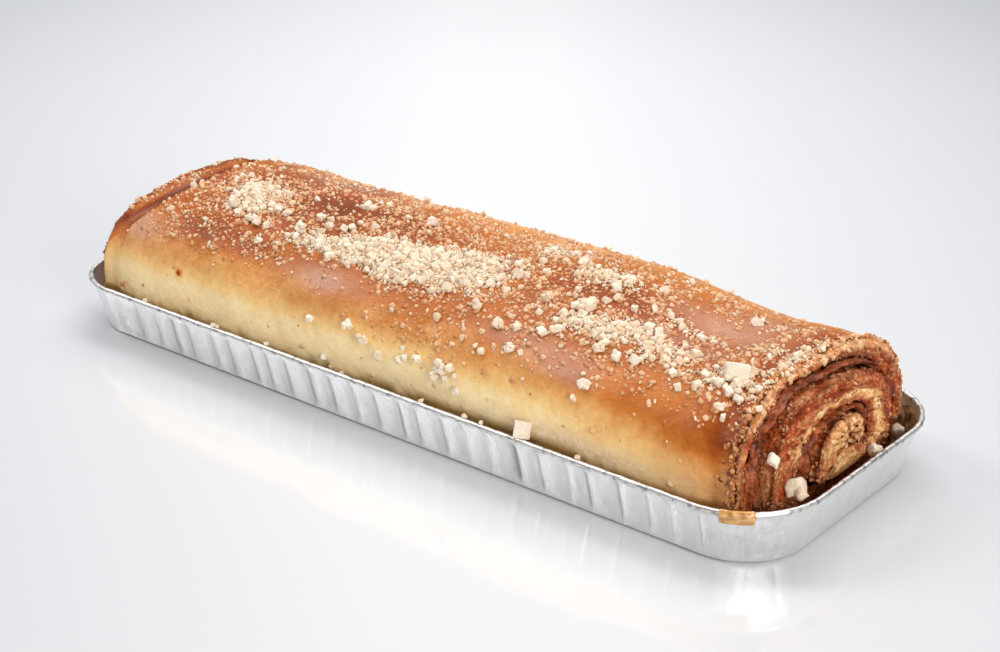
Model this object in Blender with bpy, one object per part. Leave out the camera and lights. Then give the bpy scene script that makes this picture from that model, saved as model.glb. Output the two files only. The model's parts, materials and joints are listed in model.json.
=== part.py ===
"""A cinnamon streusel loaf baked in a long fluted foil tray.

Metres, +Z up, +X along the loaf. The origin is the middle of the tray's flat base, on the table.
The dough is one rolled-up sheet, the cinnamon filling is the thinner sheet rolled up with it, and
both run from one end of the loaf to the other, where the inner turns stand out past the outer one.
"""

import math
import random

import bmesh
import bpy
from mathutils import Matrix, Vector

# ---- The foil tray ----
TRAY_LENGTH = 0.310  # over the rim's bead
TRAY_WIDTH = 0.110
TRAY_HEIGHT = 0.0195
WALL_FLARE = 0.0055  # how far the bead stands out past the base, each side
BASE_CORNER = 0.022  # radius of the base's corners
FOIL = 0.0004  # pressed foil, with its folds
BEAD_RADIUS = 0.0012
HEEL = 0.0010  # height of the turn from base to wall
FLUTE_DEPTH = 0.0012
FLUTES_LONG_SIDE = 26
FLUTES_SHORT_SIDE = 6
FLUTES_CORNER = 4
POINTS_PER_FLUTE = 2

# ---- The loaf's outside ----
CLEARANCE = 0.0003  # between pieces that touch
LOAF_HALF_WIDTH = 0.0500
CROWN_HEIGHT = 0.0535
ROLL_AXIS_HEIGHT = 0.0260  # the roll's own axis, which is also where the loaf is widest
CROWN_SQUARENESS = 2.2  # exponents of the superellipse, above and below the axis
FOOT_SQUARENESS = 5.0
LIP_FROM_MIDDLE = 0.1385  # where the outer turn ends, along X
LIP_ROUNDING = 0.12  # share of a turn's thickness by which it thins towards its end
END_TAPER_LENGTH = 0.022
END_TAPER = 0.045  # share of the half width that is lost at each end
CROWN_LEAN = 0.0050  # how far the lip lies back on top

# Swells and hollows of the crust: along X, angle round the roll, spread in metres and degrees, height.
# Angles start at the back (+Y), and 90 is the top and 180 the front.
SWELLS = (
    (0.104, 85, 0.026, 62, -0.0078),
    (0.136, 90, 0.010, 60, -0.0015),
    (-0.136, 90, 0.016, 60, -0.0028),
    (-0.090, 120, 0.024, 30, 0.0012),
    (-0.053, 143, 0.010, 30, -0.0022),
    (-0.030, 148, 0.018, 22, 0.0016),
    (0.012, 95, 0.020, 26, -0.0010),
    (0.048, 100, 0.026, 40, 0.0008),
    (0.076, 150, 0.022, 20, 0.0010),
    (0.030, 30, 0.030, 24, 0.0014),
    (-0.070, 38, 0.024, 24, -0.0014),
)

# ---- The roll ----
# "Inward" counts turns of filling from the dough's outer edge, which is tucked under the loaf.
STEPS_PER_TURN = 28
TURNS = 2.0  # of filling; the dough has one more, inside it
PITCH = 0.48  # growth of the filling's radius for each turn, as a share of the loaf's outside
OUTER_TURN_EASE = 0.40  # turns over which the outer edge comes up to lie against the turn below
EDGE_RADIUS = 0.91
EDGE_ANGLE = 275
EDGE_STEP = 1 / STEPS_PER_TURN  # turns over which the crust takes up the outer edge's thickness
CORE_HOLE = 0.02
CORE_CLOSING = 2 / STEPS_PER_TURN  # turns over which the dough closes round the core
SLOT_HALF = 0.045  # half the space between turns of dough
FILLING_HALF = 0.031
FILLING_SHORTER = 1 / STEPS_PER_TURN  # turns by which the filling stops before the outer edge
FILLING_CORE_GAP = 3 / STEPS_PER_TURN
TELESCOPE = 0.0115  # how far the core stands out past the lip
TELESCOPE_START = 0.118  # from the middle: short of this, every turn's cuts lie at the same X
BAND_BULGE = 0.0030  # how far the middle of a turn stands out past its edges
FILLING_SINK = 0.0024

CRUST_STATIONS = 36
HIDDEN_STATIONS = (18, 28, 31, 34)  # the only cuts along X that the hidden turns keep
BAND_STATIONS = 3

# ---- Streusel ----
CRUMB_RISE = 0.30  # share of a crumb's radius that its middle stands above what it lies on
# The largest crumbs on the crust, one by one: along X, angle, radius.
LARGE_CRUMBS = (
    (-0.0905, 116, 0.0027),
    (-0.0875, 105, 0.0023),
    (-0.0785, 97, 0.0020),
    (-0.0695, 122, 0.0018),
    (-0.0665, 132, 0.0016),
    (-0.0575, 116, 0.0022),
    (-0.0485, 109, 0.0018),
    (-0.0485, 89, 0.0024),
    (-0.0200, 87, 0.0023),
    (0.0425, 135, 0.0022),
    (0.0500, 113, 0.0023),
    (0.0515, 146, 0.0018),
    (0.0635, 110, 0.0032),
    (0.0785, 131, 0.0021),
    (0.0845, 109, 0.0024),
    (0.1040, 68, 0.0024),
    (0.1220, 120, 0.0040),
    (-0.0275, 167, 0.0014),
    (-0.0110, 163, 0.0022),
    (0.0125, 173, 0.0016),
    (0.0295, 170, 0.0026),
    (0.0815, 152, 0.0021),
)
# Patches of crumbs: along X, angle, half length in metres, half angle in degrees, crumbs, smallest
# and largest radius.
STREUSEL_PATCHES = (
    (-0.012, 116, 0.044, 14, 44, 0.0014, 0.0022),
    (-0.083, 110, 0.015, 13, 12, 0.0014, 0.0020),
    (0.080, 120, 0.024, 14, 18, 0.0014, 0.0022),
    (0.119, 128, 0.012, 14, 9, 0.0014, 0.0020),
    (0.052, 90, 0.024, 14, 9, 0.0014, 0.0019),
    (-0.010, 92, 0.112, 46, 12, 0.0014, 0.0018),
)
# Lumps on the near end: the turn that each lies on, counted inward, and its radius.
END_LUMPS = ((1.255, 0.0040), (1.020, 0.0026), (1.950, 0.0024), (0.830, 0.0028))
SEED = 10


def smooth_step(value):
    value = min(1.0, max(0.0, value))
    return value * value * (3 - 2 * value)


def rolled_off(distance, spread):
    return math.exp(-((distance / spread) ** 2))


# ---- Shape of the loaf ----
def crust_swell(along, angle):
    """Height of the swells on the crust at one place."""
    turned = angle % 360
    return sum(
        height * rolled_off(along - x, spread_x) * rolled_off(turned - middle, spread_angle)
        for x, middle, spread_x, spread_angle, height in SWELLS
    )


def crown_height(along):
    """The loaf's height above the roll's axis before the swells: it falls off a little towards +X."""
    return CROWN_HEIGHT - ROLL_AXIS_HEIGHT - 0.006 * (along + LIP_FROM_MIDDLE)


def roll_point(radius, angle, along):
    """A point of the loaf: radius 1 is the crust, 0 the roll's axis. Angle is in degrees."""
    across, up = math.cos(math.radians(angle)), math.sin(math.radians(angle))
    above = up >= 0
    power = 2 / (CROWN_SQUARENESS if above else FOOT_SQUARENESS)
    taper = END_TAPER * smooth_step((abs(along) - LIP_FROM_MIDDLE + END_TAPER_LENGTH) / END_TAPER_LENGTH)
    half_width = LOAF_HALF_WIDTH * (1 - taper)
    height = crown_height(along) if above else ROLL_AXIS_HEIGHT - FOIL - CLEARANCE
    y = half_width * math.copysign(abs(across) ** power, across)
    z = height * math.copysign(abs(up) ** power, up)
    point = Vector((y, z))
    if above:
        point += point.normalized() * crust_swell(along, angle)
    return Vector((along, point.x * radius, ROLL_AXIS_HEIGHT + point.y * radius))


def end_along(radius, depth):
    """Where a turn ends, for the share of the way through its thickness."""
    reach = LIP_FROM_MIDDLE + TELESCOPE * (1 - radius**3)
    return reach - BAND_BULGE * (2 * depth - 1) ** 2


def turn_angle(inward):
    """The roll winds outwards anticlockwise, as seen from the near end."""
    return EDGE_ANGLE - 360 * inward


def filling_radius(inward):
    """Radius of the filling's middle."""
    return EDGE_RADIUS - PITCH * inward**2 / (inward + OUTER_TURN_EASE)


def filling_radii(inward):
    """Radius of the filling's inner and outer face."""
    middle = filling_radius(inward)
    return middle - FILLING_HALF, middle + FILLING_HALF


def dough_radii(inward):
    """Radius of the dough's inner and outer face. It lies on the filling, inside the next turn out."""
    opening = smooth_step(1 - (inward - TURNS) / CORE_CLOSING)
    inner = CORE_HOLE + (filling_radius(min(inward, TURNS)) + SLOT_HALF - CORE_HOLE) * opening
    if inward < 1 - EDGE_STEP:
        return inner, 1.0
    under = filling_radius(max(inward - 1, 0)) - SLOT_HALF
    return inner, under + (1 - under) * smooth_step((1 - inward) / EDGE_STEP)


def sheet_point(inward, depth, share, radii, sink):
    """A point of a rolled sheet: depth goes from its inner to its outer face, share from -X to +X."""
    inner, outer = radii(inward)
    radius = inner + (outer - inner) * depth
    angle = turn_angle(inward)
    along = LIP_FROM_MIDDLE * (2 * share - 1)
    lean = CROWN_LEAN * max(0.0, math.sin(math.radians(angle))) * radius**2
    reach = end_along((inner + outer) / 2, depth) - sink - lean
    near_end = smooth_step((abs(along) - TELESCOPE_START) / (LIP_FROM_MIDDLE - TELESCOPE_START))
    along += near_end * (reach - LIP_FROM_MIDDLE) * math.copysign(1, along)
    radius -= LIP_ROUNDING * near_end * (outer - inner) * depth
    return roll_point(radius, angle, along)


# ---- Making meshes ----
def material(name, colour, roughness, metallic=0.0):
    made = bpy.data.materials.new(name)
    made.use_nodes = True
    shader = made.node_tree.nodes["Principled BSDF"]
    shader.inputs["Base Color"].default_value = (*colour, 1.0)
    shader.inputs["Roughness"].default_value = roughness
    shader.inputs["Metallic"].default_value = metallic
    made.diffuse_color = (*colour, 1.0)
    return made


def add_object(name, mesh_data, collection, finish=None):
    mesh = bpy.data.meshes.new(name)
    mesh_data.to_mesh(mesh)
    mesh_data.free()
    made = bpy.data.objects.new(name, mesh)
    collection.objects.link(made)
    if finish:
        mesh.materials.append(finish)
    return made


def cut_block(cuts):
    """A unit block, from 0 to 1 each way, cut across at the shares given for each axis."""
    block = bmesh.new()
    bmesh.ops.create_cube(block, size=1.0, matrix=Matrix.Translation((0.5, 0.5, 0.5)))
    for axis, shares in enumerate(cuts):
        normal = Vector((0, 0, 0))
        normal[axis] = 1
        for share in shares:
            everything = block.verts[:] + block.edges[:] + block.faces[:]
            bmesh.ops.bisect_plane(block, geom=everything, plane_co=normal * share, plane_no=normal)
    return block


def even_cuts(count):
    return [step / count for step in range(1, count)]


def drop_hidden_cuts(block, crust_share):
    """Takes most cuts along X out of the faces that nobody sees. The crust's own turn keeps them."""
    kept = [station / CRUST_STATIONS for station in (0, *HIDDEN_STATIONS, CRUST_STATIONS)]
    dropped = []
    for edge in block.edges:
        ends = [vertex.co for vertex in edge.verts]
        between = min(abs(end.z - share) for end in ends for share in kept) > 1e-5
        inner_face = max(end.y for end in ends) < 1e-5
        buried = min(end.y for end in ends) > 1 - 1e-5 and min(end.x for end in ends) > crust_share - 1e-5
        core_edge = min(end.x for end in ends) > 1 - 1e-5
        outer_edge = crust_share == 0 and max(end.x for end in ends) < 1e-5
        along = abs(ends[0].z - ends[1].z) > 1e-5
        if between and not along and (inner_face or buried or core_edge or outer_edge):
            dropped.append(edge)
    bmesh.ops.dissolve_edges(block, edges=dropped, use_verts=True)


def rolled_sheet(outer_edge, core_edge, radii, sink, crust_share, band_stations):
    """A sheet rolled up along X. The flat block's X is how far inward, Y the depth and Z the length."""
    steps = round((core_edge - outer_edge) * STEPS_PER_TURN)
    sheet = cut_block((even_cuts(steps), even_cuts(band_stations), even_cuts(CRUST_STATIONS)))
    drop_hidden_cuts(sheet, crust_share)
    for vertex in sheet.verts:
        share, depth, along = vertex.co
        inward = outer_edge + (core_edge - outer_edge) * share
        vertex.co = sheet_point(inward, depth, along, radii, sink)
    bmesh.ops.triangulate(sheet, faces=sheet.faces[:])
    return sheet


def crumb(centre, radius, draw):
    """A rough crumb: a coarse ball, squashed and knocked out of round."""
    lump = bmesh.new()
    bmesh.ops.create_icosphere(lump, subdivisions=1, radius=radius)
    squash = Vector((draw.uniform(0.85, 1.15), draw.uniform(0.85, 1.15), draw.uniform(0.70, 0.90)))
    spin = Matrix.Rotation(draw.uniform(0, math.tau), 3, "Z")
    for vertex in lump.verts:
        vertex.co *= draw.uniform(0.82, 1.12)
        vertex.co = spin @ Vector(a * b for a, b in zip(vertex.co, squash)) + centre
    return lump


def crust_spot(angle, along):
    """A point of the crust and the direction that it faces."""
    inward, share = (EDGE_ANGLE - angle) / 360, (along / LIP_FROM_MIDDLE + 1) / 2
    here, around, onward = (
        sheet_point(inward - step_in, 1.0, share + step_on, dough_radii, 0.0)
        for step_in, step_on in ((0, 0), (0.005, 0), (0, 0.005))
    )
    return here, (around - here).cross(onward - here).normalized()


def streusel(draw):
    """The middle and radius of each crumb. In the patches they keep apart, the largest first."""
    placed = []
    for along, angle, radius in LARGE_CRUMBS:
        spot, outward = crust_spot(angle, along)
        placed.append((spot + outward * radius * CRUMB_RISE, radius))
    for x, angle, half_length, half_angle, count, small, large in STREUSEL_PATCHES:
        for number in range(count):
            radius = large + (small - large) * number / count
            for _ in range(200):
                along = x + half_length * draw.uniform(-1, 1)
                spot, outward = crust_spot(angle + half_angle * draw.uniform(-1, 1), along)
                centre = spot + outward * radius * CRUMB_RISE
                if all((centre - other).length > 0.62 * (radius + size) for other, size in placed):
                    placed.append((centre, radius))
                    break
    for inward, radius in END_LUMPS:
        crest = sheet_point(inward, 0.5, 1.0, dough_radii, 0.0)
        placed.append((crest + Vector((radius * CRUMB_RISE, 0, 0)), radius))
    return placed


# ---- The pieces ----
def build_dough(collection):
    sheet = rolled_sheet(0.0, TURNS + 1, dough_radii, 0.0, 1 / (TURNS + 1), BAND_STATIONS)
    finish = material("baked_dough", (0.66, 0.33, 0.12), 0.42)
    return add_object("dough_roll", sheet, collection, finish)


def build_filling(collection):
    edges = FILLING_SHORTER, TURNS - FILLING_CORE_GAP
    sheet = rolled_sheet(*edges, filling_radii, FILLING_SINK, 0.0, 1)
    finish = material("cinnamon_filling", (0.16, 0.045, 0.015), 0.35)
    return add_object("cinnamon_filling", sheet, collection, finish)


def fuse_streusel(dough):
    """Joins the crumbs to the dough with one union, then removes their own objects."""
    draw = random.Random(SEED)
    crumbs = bpy.data.collections.new("streusel")
    bpy.context.scene.collection.children.link(crumbs)
    for centre, radius in streusel(draw):
        add_object("crumb", crumb(centre, radius, draw), crumbs)
    union = dough.modifiers.new("streusel", "BOOLEAN")
    union.operation = "UNION"
    union.operand_type = "COLLECTION"
    union.collection = crumbs
    union.solver = "EXACT"
    graph = bpy.context.evaluated_depsgraph_get()
    joined = bpy.data.meshes.new_from_object(dough.evaluated_get(graph))
    dough.modifiers.clear()
    dough.data = joined
    for piece in list(crumbs.objects):
        bpy.data.objects.remove(piece)
    bpy.data.collections.remove(crumbs)


def tray_outline(grow):
    """Points and outward directions round the tray, for the base's outline grown by so much."""
    half_x = TRAY_LENGTH / 2 - WALL_FLARE - BASE_CORNER
    half_y = TRAY_WIDTH / 2 - WALL_FLARE - BASE_CORNER
    radius = BASE_CORNER + grow
    corners = ((1, 1), (-1, 1), (-1, -1), (1, -1))
    sides = (FLUTES_LONG_SIDE, FLUTES_SHORT_SIDE) * 2
    for quarter, (corner, side) in enumerate(zip(corners, sides)):
        middle = Vector((corner[0] * half_x, corner[1] * half_y))
        following = corners[(quarter + 1) % 4]
        target = Vector((following[0] * half_x, following[1] * half_y))
        arc_points = FLUTES_CORNER * POINTS_PER_FLUTE
        for step in range(arc_points):
            bearing = math.radians(90 * quarter + 90 * step / arc_points)
            out = Vector((math.cos(bearing), math.sin(bearing)))
            yield middle + out * radius, out
        out = Vector((math.cos(math.radians(90 * quarter + 90)), math.sin(math.radians(90 * quarter + 90))))
        side_points = side * POINTS_PER_FLUTE
        for step in range(side_points):
            yield middle.lerp(target, step / side_points) + out * radius, out


def tray_rows():
    """Rows of the tray's skin from the outer base edge, over the bead, to the inner base edge: how far
    out from the base's outline, height, and how much of the flutes' depth shows."""
    bead_out = WALL_FLARE - BEAD_RADIUS
    bead_up = TRAY_HEIGHT - BEAD_RADIUS
    wall_top_out = bead_out - 0.4 * BEAD_RADIUS
    wall_top_up = bead_up - 1.4 * BEAD_RADIUS
    yield -HEEL, 0.0, 0.0
    yield 0.0, HEEL, 0.7
    yield wall_top_out, wall_top_up, 1.0
    for bearing in (-75, 0, 75, 150):
        out = math.cos(math.radians(bearing))
        up = math.sin(math.radians(bearing))
        yield bead_out + BEAD_RADIUS * out, bead_up + BEAD_RADIUS * up, 0.0
    yield wall_top_out - FOIL, wall_top_up, 1.0
    yield -FOIL, HEEL + FOIL, 0.7
    yield -HEEL - FOIL, FOIL, 0.0


def build_tray(collection):
    """One skin of foil, lofted from the plain base through the fluted wall to the plain bead."""
    tray = bmesh.new()
    loops = []
    for grow, height, flutes in tray_rows():
        loop = []
        for index, (point, out) in enumerate(tray_outline(grow)):
            wave = math.cos(math.tau * index / POINTS_PER_FLUTE)
            moved = point + out * (FLUTE_DEPTH / 2 * flutes * (wave - 1))
            loop.append(tray.verts.new((*moved, height)))
        loops.append(loop)
    for below, above in zip(loops, loops[1:]):
        for here in range(len(below)):
            after = (here + 1) % len(below)
            tray.faces.new((below[here], below[after], above[after], above[here]))
    tray.faces.new(reversed(loops[0]))
    tray.faces.new(loops[-1])
    finish = material("foil", (0.80, 0.81, 0.82), 0.28, 1.0)
    return add_object("foil_tray", tray, collection, finish)


def main():
    for old in list(bpy.data.objects):
        bpy.data.objects.remove(old)
    loaf = bpy.data.collections.new("cinnamon_streusel_loaf")
    bpy.context.scene.collection.children.link(loaf)
    build_tray(loaf)
    build_filling(loaf)
    fuse_streusel(build_dough(loaf))


if __name__ == "__main__":
    main()
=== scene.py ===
"""The looks of a cinnamon streusel loaf in its fluted foil tray: crust, filling, streusel and foil.

Metres, +Z up, +X along the loaf towards the near end, where the swirl shows. The tray stands on Z = 0.
Angles round the loaf start at the back (+Y): 90 is the top, 180 the front.
"""

import json
import math
import random

import bmesh
import bpy
import numpy as np
from mathutils import Euler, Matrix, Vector, noise
from mathutils.bvhtree import BVHTree

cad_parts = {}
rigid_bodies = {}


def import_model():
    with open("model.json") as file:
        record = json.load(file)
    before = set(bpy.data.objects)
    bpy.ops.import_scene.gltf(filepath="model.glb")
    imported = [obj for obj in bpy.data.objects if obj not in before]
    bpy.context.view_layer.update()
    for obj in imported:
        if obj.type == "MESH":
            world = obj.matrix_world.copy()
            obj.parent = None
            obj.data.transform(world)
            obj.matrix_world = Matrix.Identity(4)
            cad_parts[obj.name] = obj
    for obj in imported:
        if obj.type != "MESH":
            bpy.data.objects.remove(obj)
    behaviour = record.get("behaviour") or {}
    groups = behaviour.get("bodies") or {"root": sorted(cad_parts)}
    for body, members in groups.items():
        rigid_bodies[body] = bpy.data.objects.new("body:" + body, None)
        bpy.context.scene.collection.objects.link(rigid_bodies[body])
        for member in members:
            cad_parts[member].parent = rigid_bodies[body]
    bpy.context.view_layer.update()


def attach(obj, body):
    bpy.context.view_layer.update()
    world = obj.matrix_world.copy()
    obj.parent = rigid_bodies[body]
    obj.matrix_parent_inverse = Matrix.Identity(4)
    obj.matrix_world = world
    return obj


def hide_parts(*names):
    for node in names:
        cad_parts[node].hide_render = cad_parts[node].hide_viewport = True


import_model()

BODY = "root"

# ---- The camera, as the photograph was taken ----
EYE = (0.3742, -0.4424, 0.2702)
BEARING = 39.233  # degrees that it looks round towards -X
LOOKING_DOWN = 23.253
SENSOR_WIDTH = 36.0
LENS = 65.8

# ---- The foil tray ----
TRAY_LENGTH = 0.310
TRAY_WIDTH = 0.110
TRAY_HEIGHT = 0.0195
WALL_FLARE = 0.0055
BASE_CORNER = 0.022
FOIL = 0.0004
BEAD_RADIUS = 0.0009
HEEL = 0.0010
FLUTE_PITCH = 0.0098
FLUTE_DEPTH = 0.0017

# ---- The loaf's outside, as in the solids ----
CLEARANCE = 0.0003
LOAF_HALF_WIDTH = 0.0500
CROWN_HEIGHT = 0.0535
ROLL_AXIS_HEIGHT = 0.0260
CROWN_SQUARENESS = 2.2
FOOT_SQUARENESS = 5.0
LIP_FROM_MIDDLE = 0.1385
LIP_ROUNDING = 0.12
END_TAPER_LENGTH = 0.022
END_TAPER = 0.045
CROWN_LEAN = 0.0050
CROWN_FALL = 0.006  # for each metre towards the near end
CROWN_ANGLE = 98  # middle of the browned top
# Swells and hollows: along X, angle, spread in metres and degrees, height.
SWELLS = (
    (0.104, 85, 0.026, 62, -0.0078),
    (0.136, 90, 0.010, 60, -0.0015),
    (-0.136, 90, 0.016, 60, -0.0028),
    (-0.090, 120, 0.024, 30, 0.0012),
    (-0.053, 143, 0.010, 30, -0.0022),
    (-0.030, 148, 0.018, 22, 0.0016),
    (0.012, 95, 0.020, 26, -0.0010),
    (0.048, 100, 0.026, 40, 0.0008),
    (0.076, 150, 0.022, 20, 0.0010),
    (0.030, 30, 0.030, 24, 0.0014),
    (-0.070, 38, 0.024, 24, -0.0014),
)

# ---- The roll, as in the solids. "Inward" counts turns of filling from the outer edge ----
SOLID_STEPS_PER_TURN = 28
TURNS = 2.0
PITCH = 0.48
OUTER_TURN_EASE = 0.40
EDGE_RADIUS = 0.91
EDGE_ANGLE = 275
EDGE_STEP = 1 / SOLID_STEPS_PER_TURN
CORE_HOLE = 0.02
CORE_CLOSING = 2 / SOLID_STEPS_PER_TURN
SLOT_HALF = 0.045
FILLING_HALF = 0.031
FILLING_SHORTER = 1 / SOLID_STEPS_PER_TURN
FILLING_CORE_GAP = 3 / SOLID_STEPS_PER_TURN
TELESCOPE = 0.0115
TELESCOPE_START = 0.118
BAND_BULGE = 0.0030
FILLING_SINK = 0.0030
TURN_LENGTH = 0.200  # round the loaf, for textures that follow a turn

# ---- Streusel, placed as in the solids ----
CRUMB_RISE = 0.30  # share of a crumb's radius that its middle stands above what it lies on
CRUMB_SPACING = 0.62  # share of two crumbs' radii that their middles keep apart
CRUMB_TRIES = 200
# The largest crumbs on the crust, one by one: along X, angle, radius.
LARGE_CRUMBS = (
    (-0.0905, 116, 0.0027),
    (-0.0875, 105, 0.0023),
    (-0.0785, 97, 0.0020),
    (-0.0695, 122, 0.0018),
    (-0.0665, 132, 0.0016),
    (-0.0575, 116, 0.0022),
    (-0.0485, 109, 0.0018),
    (-0.0485, 89, 0.0024),
    (-0.0200, 87, 0.0023),
    (0.0425, 135, 0.0022),
    (0.0500, 113, 0.0023),
    (0.0515, 146, 0.0018),
    (0.0635, 110, 0.0032),
    (0.0785, 131, 0.0021),
    (0.0845, 109, 0.0024),
    (0.1040, 68, 0.0024),
    (0.1220, 120, 0.0040),
    (-0.0275, 167, 0.0014),
    (-0.0110, 163, 0.0022),
    (0.0125, 173, 0.0016),
    (0.0295, 170, 0.0026),
    (0.0815, 152, 0.0021),
)
# Patches of crumbs: along X, angle, half length in metres, half angle in degrees, crumbs, smallest
# and largest radius.
STREUSEL_PATCHES = (
    (-0.012, 116, 0.044, 14, 44, 0.0014, 0.0022),
    (-0.083, 110, 0.015, 13, 12, 0.0014, 0.0020),
    (0.080, 120, 0.024, 14, 18, 0.0014, 0.0022),
    (0.119, 128, 0.012, 14, 9, 0.0014, 0.0020),
    (0.052, 90, 0.024, 14, 9, 0.0014, 0.0019),
    (-0.010, 92, 0.112, 46, 12, 0.0014, 0.0018),
)
# Lumps on the near end: the turn that each lies on, counted inward, and its radius.
END_LUMPS = ((1.255, 0.0040), (1.020, 0.0026), (1.950, 0.0024), (0.830, 0.0028))
SEED = 10
# Square crumbs: half their sides, as shares of their radius.
BLOCK_TURN = (-0.35, 0.12, 0.62)
LARGE_BLOCKS = {16: (0.88, 0.70, 0.66)}
FALLEN_BLOCKS = {0: (0.80, 0.62, 0.84)}
CHIP_KINDS = 7
KINDS_SEED = 3

# ---- Fineness of the finished meshes ----
STEPS_PER_TURN = 176
END_ZONE = 0.026  # of the loaf at each end, with closer stations
END_STATIONS = 32
MIDDLE_STATIONS = 180
HIDDEN_STATIONS = 6  # in the middle, on faces inside the loaf
DOUGH_STATIONS = 8  # across the dough's thickness
FILLING_STATIONS = 6
END_FADE = 0.018  # over which what marks the ends fades in
# How ragged the ends of a turn are: height of the waves, their length, where their noise starts.
RAGGED_ENDS = ((0.0016, 0.016, 3.1), (0.0007, 0.0045, 9.7))


# ---------------------------------------------------------------- shapes
def smooth_step(value):
    value = np.clip(value, 0.0, 1.0)
    return value * value * (3 - 2 * value)


def rolled_off(distance, spread):
    return np.exp(-((distance / spread) ** 2))


def spots(table, along, angle):
    """Sum of soft spots on the crust: along X, angle, spread in metres and degrees, amount."""
    turned = np.asarray(angle) % 360
    return sum(
        amount * rolled_off(along - x, spread_x) * rolled_off(turned - middle, spread_angle)
        for x, middle, spread_x, spread_angle, amount in table
    )


def roll_point(radius, angle, along):
    """Points of the loaf: radius 1 is the crust, 0 the roll's axis."""
    across, up = np.cos(np.radians(angle)), np.sin(np.radians(angle))
    above = up >= 0
    power = np.where(above, 2 / CROWN_SQUARENESS, 2 / FOOT_SQUARENESS)
    taper = smooth_step((np.abs(along) - LIP_FROM_MIDDLE + END_TAPER_LENGTH) / END_TAPER_LENGTH)
    half_width = LOAF_HALF_WIDTH * (1 - END_TAPER * taper)
    crown = CROWN_HEIGHT - ROLL_AXIS_HEIGHT - CROWN_FALL * (along + LIP_FROM_MIDDLE)
    height = np.where(above, crown, ROLL_AXIS_HEIGHT - FOIL - CLEARANCE)
    y = half_width * np.copysign(np.abs(across) ** power, across)
    z = height * np.copysign(np.abs(up) ** power, up)
    swollen = 1 + np.where(above, spots(SWELLS, along, angle), 0) / np.hypot(y, z)
    y, z = y * swollen * radius, ROLL_AXIS_HEIGHT + z * swollen * radius
    return np.stack(np.broadcast_arrays(along, y, z), axis=-1)


def filling_radius(inward):
    return EDGE_RADIUS - PITCH * inward**2 / (inward + OUTER_TURN_EASE)


def filling_radii(inward):
    middle = filling_radius(inward)
    return middle - FILLING_HALF, middle + FILLING_HALF


def dough_radii(inward):
    """Radius of the dough's inner and outer face. It lies on the filling, inside the next turn out."""
    opening = smooth_step(1 - (inward - TURNS) / CORE_CLOSING)
    inner = filling_radius(np.minimum(inward, TURNS)) + SLOT_HALF
    inner = CORE_HOLE + (inner - CORE_HOLE) * opening
    under = filling_radius(np.maximum(inward - 1, 0)) - SLOT_HALF
    outer = under + (1 - under) * smooth_step((1 - inward) / EDGE_STEP)
    return inner, np.where(inward < 1 - EDGE_STEP, 1.0, outer)


def sheet_point(inward, depth, share, radii, sink, ragged=0.0):
    """Points of a rolled sheet: depth goes from its inner to its outer face, share from -X to +X.
    Ragged is how far the sheet's ends stand out past their even line."""
    inner, outer = radii(inward)
    radius = inner + (outer - inner) * depth
    angle = EDGE_ANGLE - 360 * inward
    along = LIP_FROM_MIDDLE * (2 * share - 1)
    lean = CROWN_LEAN * np.maximum(0.0, np.sin(np.radians(angle))) * radius**2
    turn_end = LIP_FROM_MIDDLE + TELESCOPE * (1 - ((inner + outer) / 2) ** 3)
    reach = turn_end - BAND_BULGE * (2 * depth - 1) ** 2 - sink - lean + ragged
    near_end = smooth_step((np.abs(along) - TELESCOPE_START) / (LIP_FROM_MIDDLE - TELESCOPE_START))
    moved = along + near_end * (reach - LIP_FROM_MIDDLE) * np.sign(along)
    radius = radius - LIP_ROUNDING * near_end * (outer - inner) * depth
    return roll_point(radius, angle, moved)


def crust_spot(angle, along):
    """A point of the crust and the direction that it faces."""
    inward, share = (EDGE_ANGLE - angle) / 360, (along / LIP_FROM_MIDDLE + 1) / 2
    here, around, onward = (
        Vector(sheet_point(inward - step_in, 1.0, share + step_on, dough_radii, 0.0))
        for step_in, step_on in ((0, 0), (0.005, 0), (0, 0.005))
    )
    return here, (around - here).cross(onward - here).normalized()


def streusel_places(draw):
    """The middle, radius and outward direction of each large crumb, where the solids have them."""
    placed = []
    for along, angle, radius in LARGE_CRUMBS:
        spot, outward = crust_spot(angle, along)
        placed.append((spot + outward * radius * CRUMB_RISE, radius, outward))
    for x, angle, half_length, half_angle, count, small, large in STREUSEL_PATCHES:
        for number in range(count):
            radius = large + (small - large) * number / count
            for _ in range(CRUMB_TRIES):
                along = x + half_length * draw.uniform(-1, 1)
                spot, outward = crust_spot(angle + half_angle * draw.uniform(-1, 1), along)
                centre = spot + outward * radius * CRUMB_RISE
                if all(
                    (centre - other).length > CRUMB_SPACING * (radius + size)
                    for other, size, _ in placed
                ):
                    placed.append((centre, radius, outward))
                    break
    for inward, radius in END_LUMPS:
        crest = Vector(sheet_point(inward, 0.5, 1.0, dough_radii, 0.0))
        placed.append((crest + Vector((radius * CRUMB_RISE, 0, 0)), radius, Vector((1, 0, 0))))
    return placed


def relief(points, size, layers=3, start=0.0):
    """Smooth noise from -1 to 1 at each point, with bumps of about this size."""
    shift = Vector((start, start * 0.7, -start))
    return np.array([noise.fractal(Vector(p) / size + shift, 1.0, 2.0, layers) for p in points])


# ---------------------------------------------------------------- meshes
def place_object(name, data):
    """Puts a new object with this mesh, curve, light or camera in the scene."""
    made = bpy.data.objects.new(name, data)
    bpy.context.scene.collection.objects.link(made)
    return made


def mesh_from(skin, name):
    """Turns a bmesh into a mesh of this name, and frees it."""
    mesh = bpy.data.meshes.new(name)
    skin.to_mesh(mesh)
    skin.free()
    return mesh


def mesh_object(name, points, faces, finish):
    mesh = bpy.data.meshes.new(name)
    mesh.from_pydata([tuple(p) for p in points], [], faces)
    mesh.materials.append(finish)
    made = place_object(name, mesh)
    face_outwards(made)
    mesh.shade_smooth()
    return made


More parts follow.
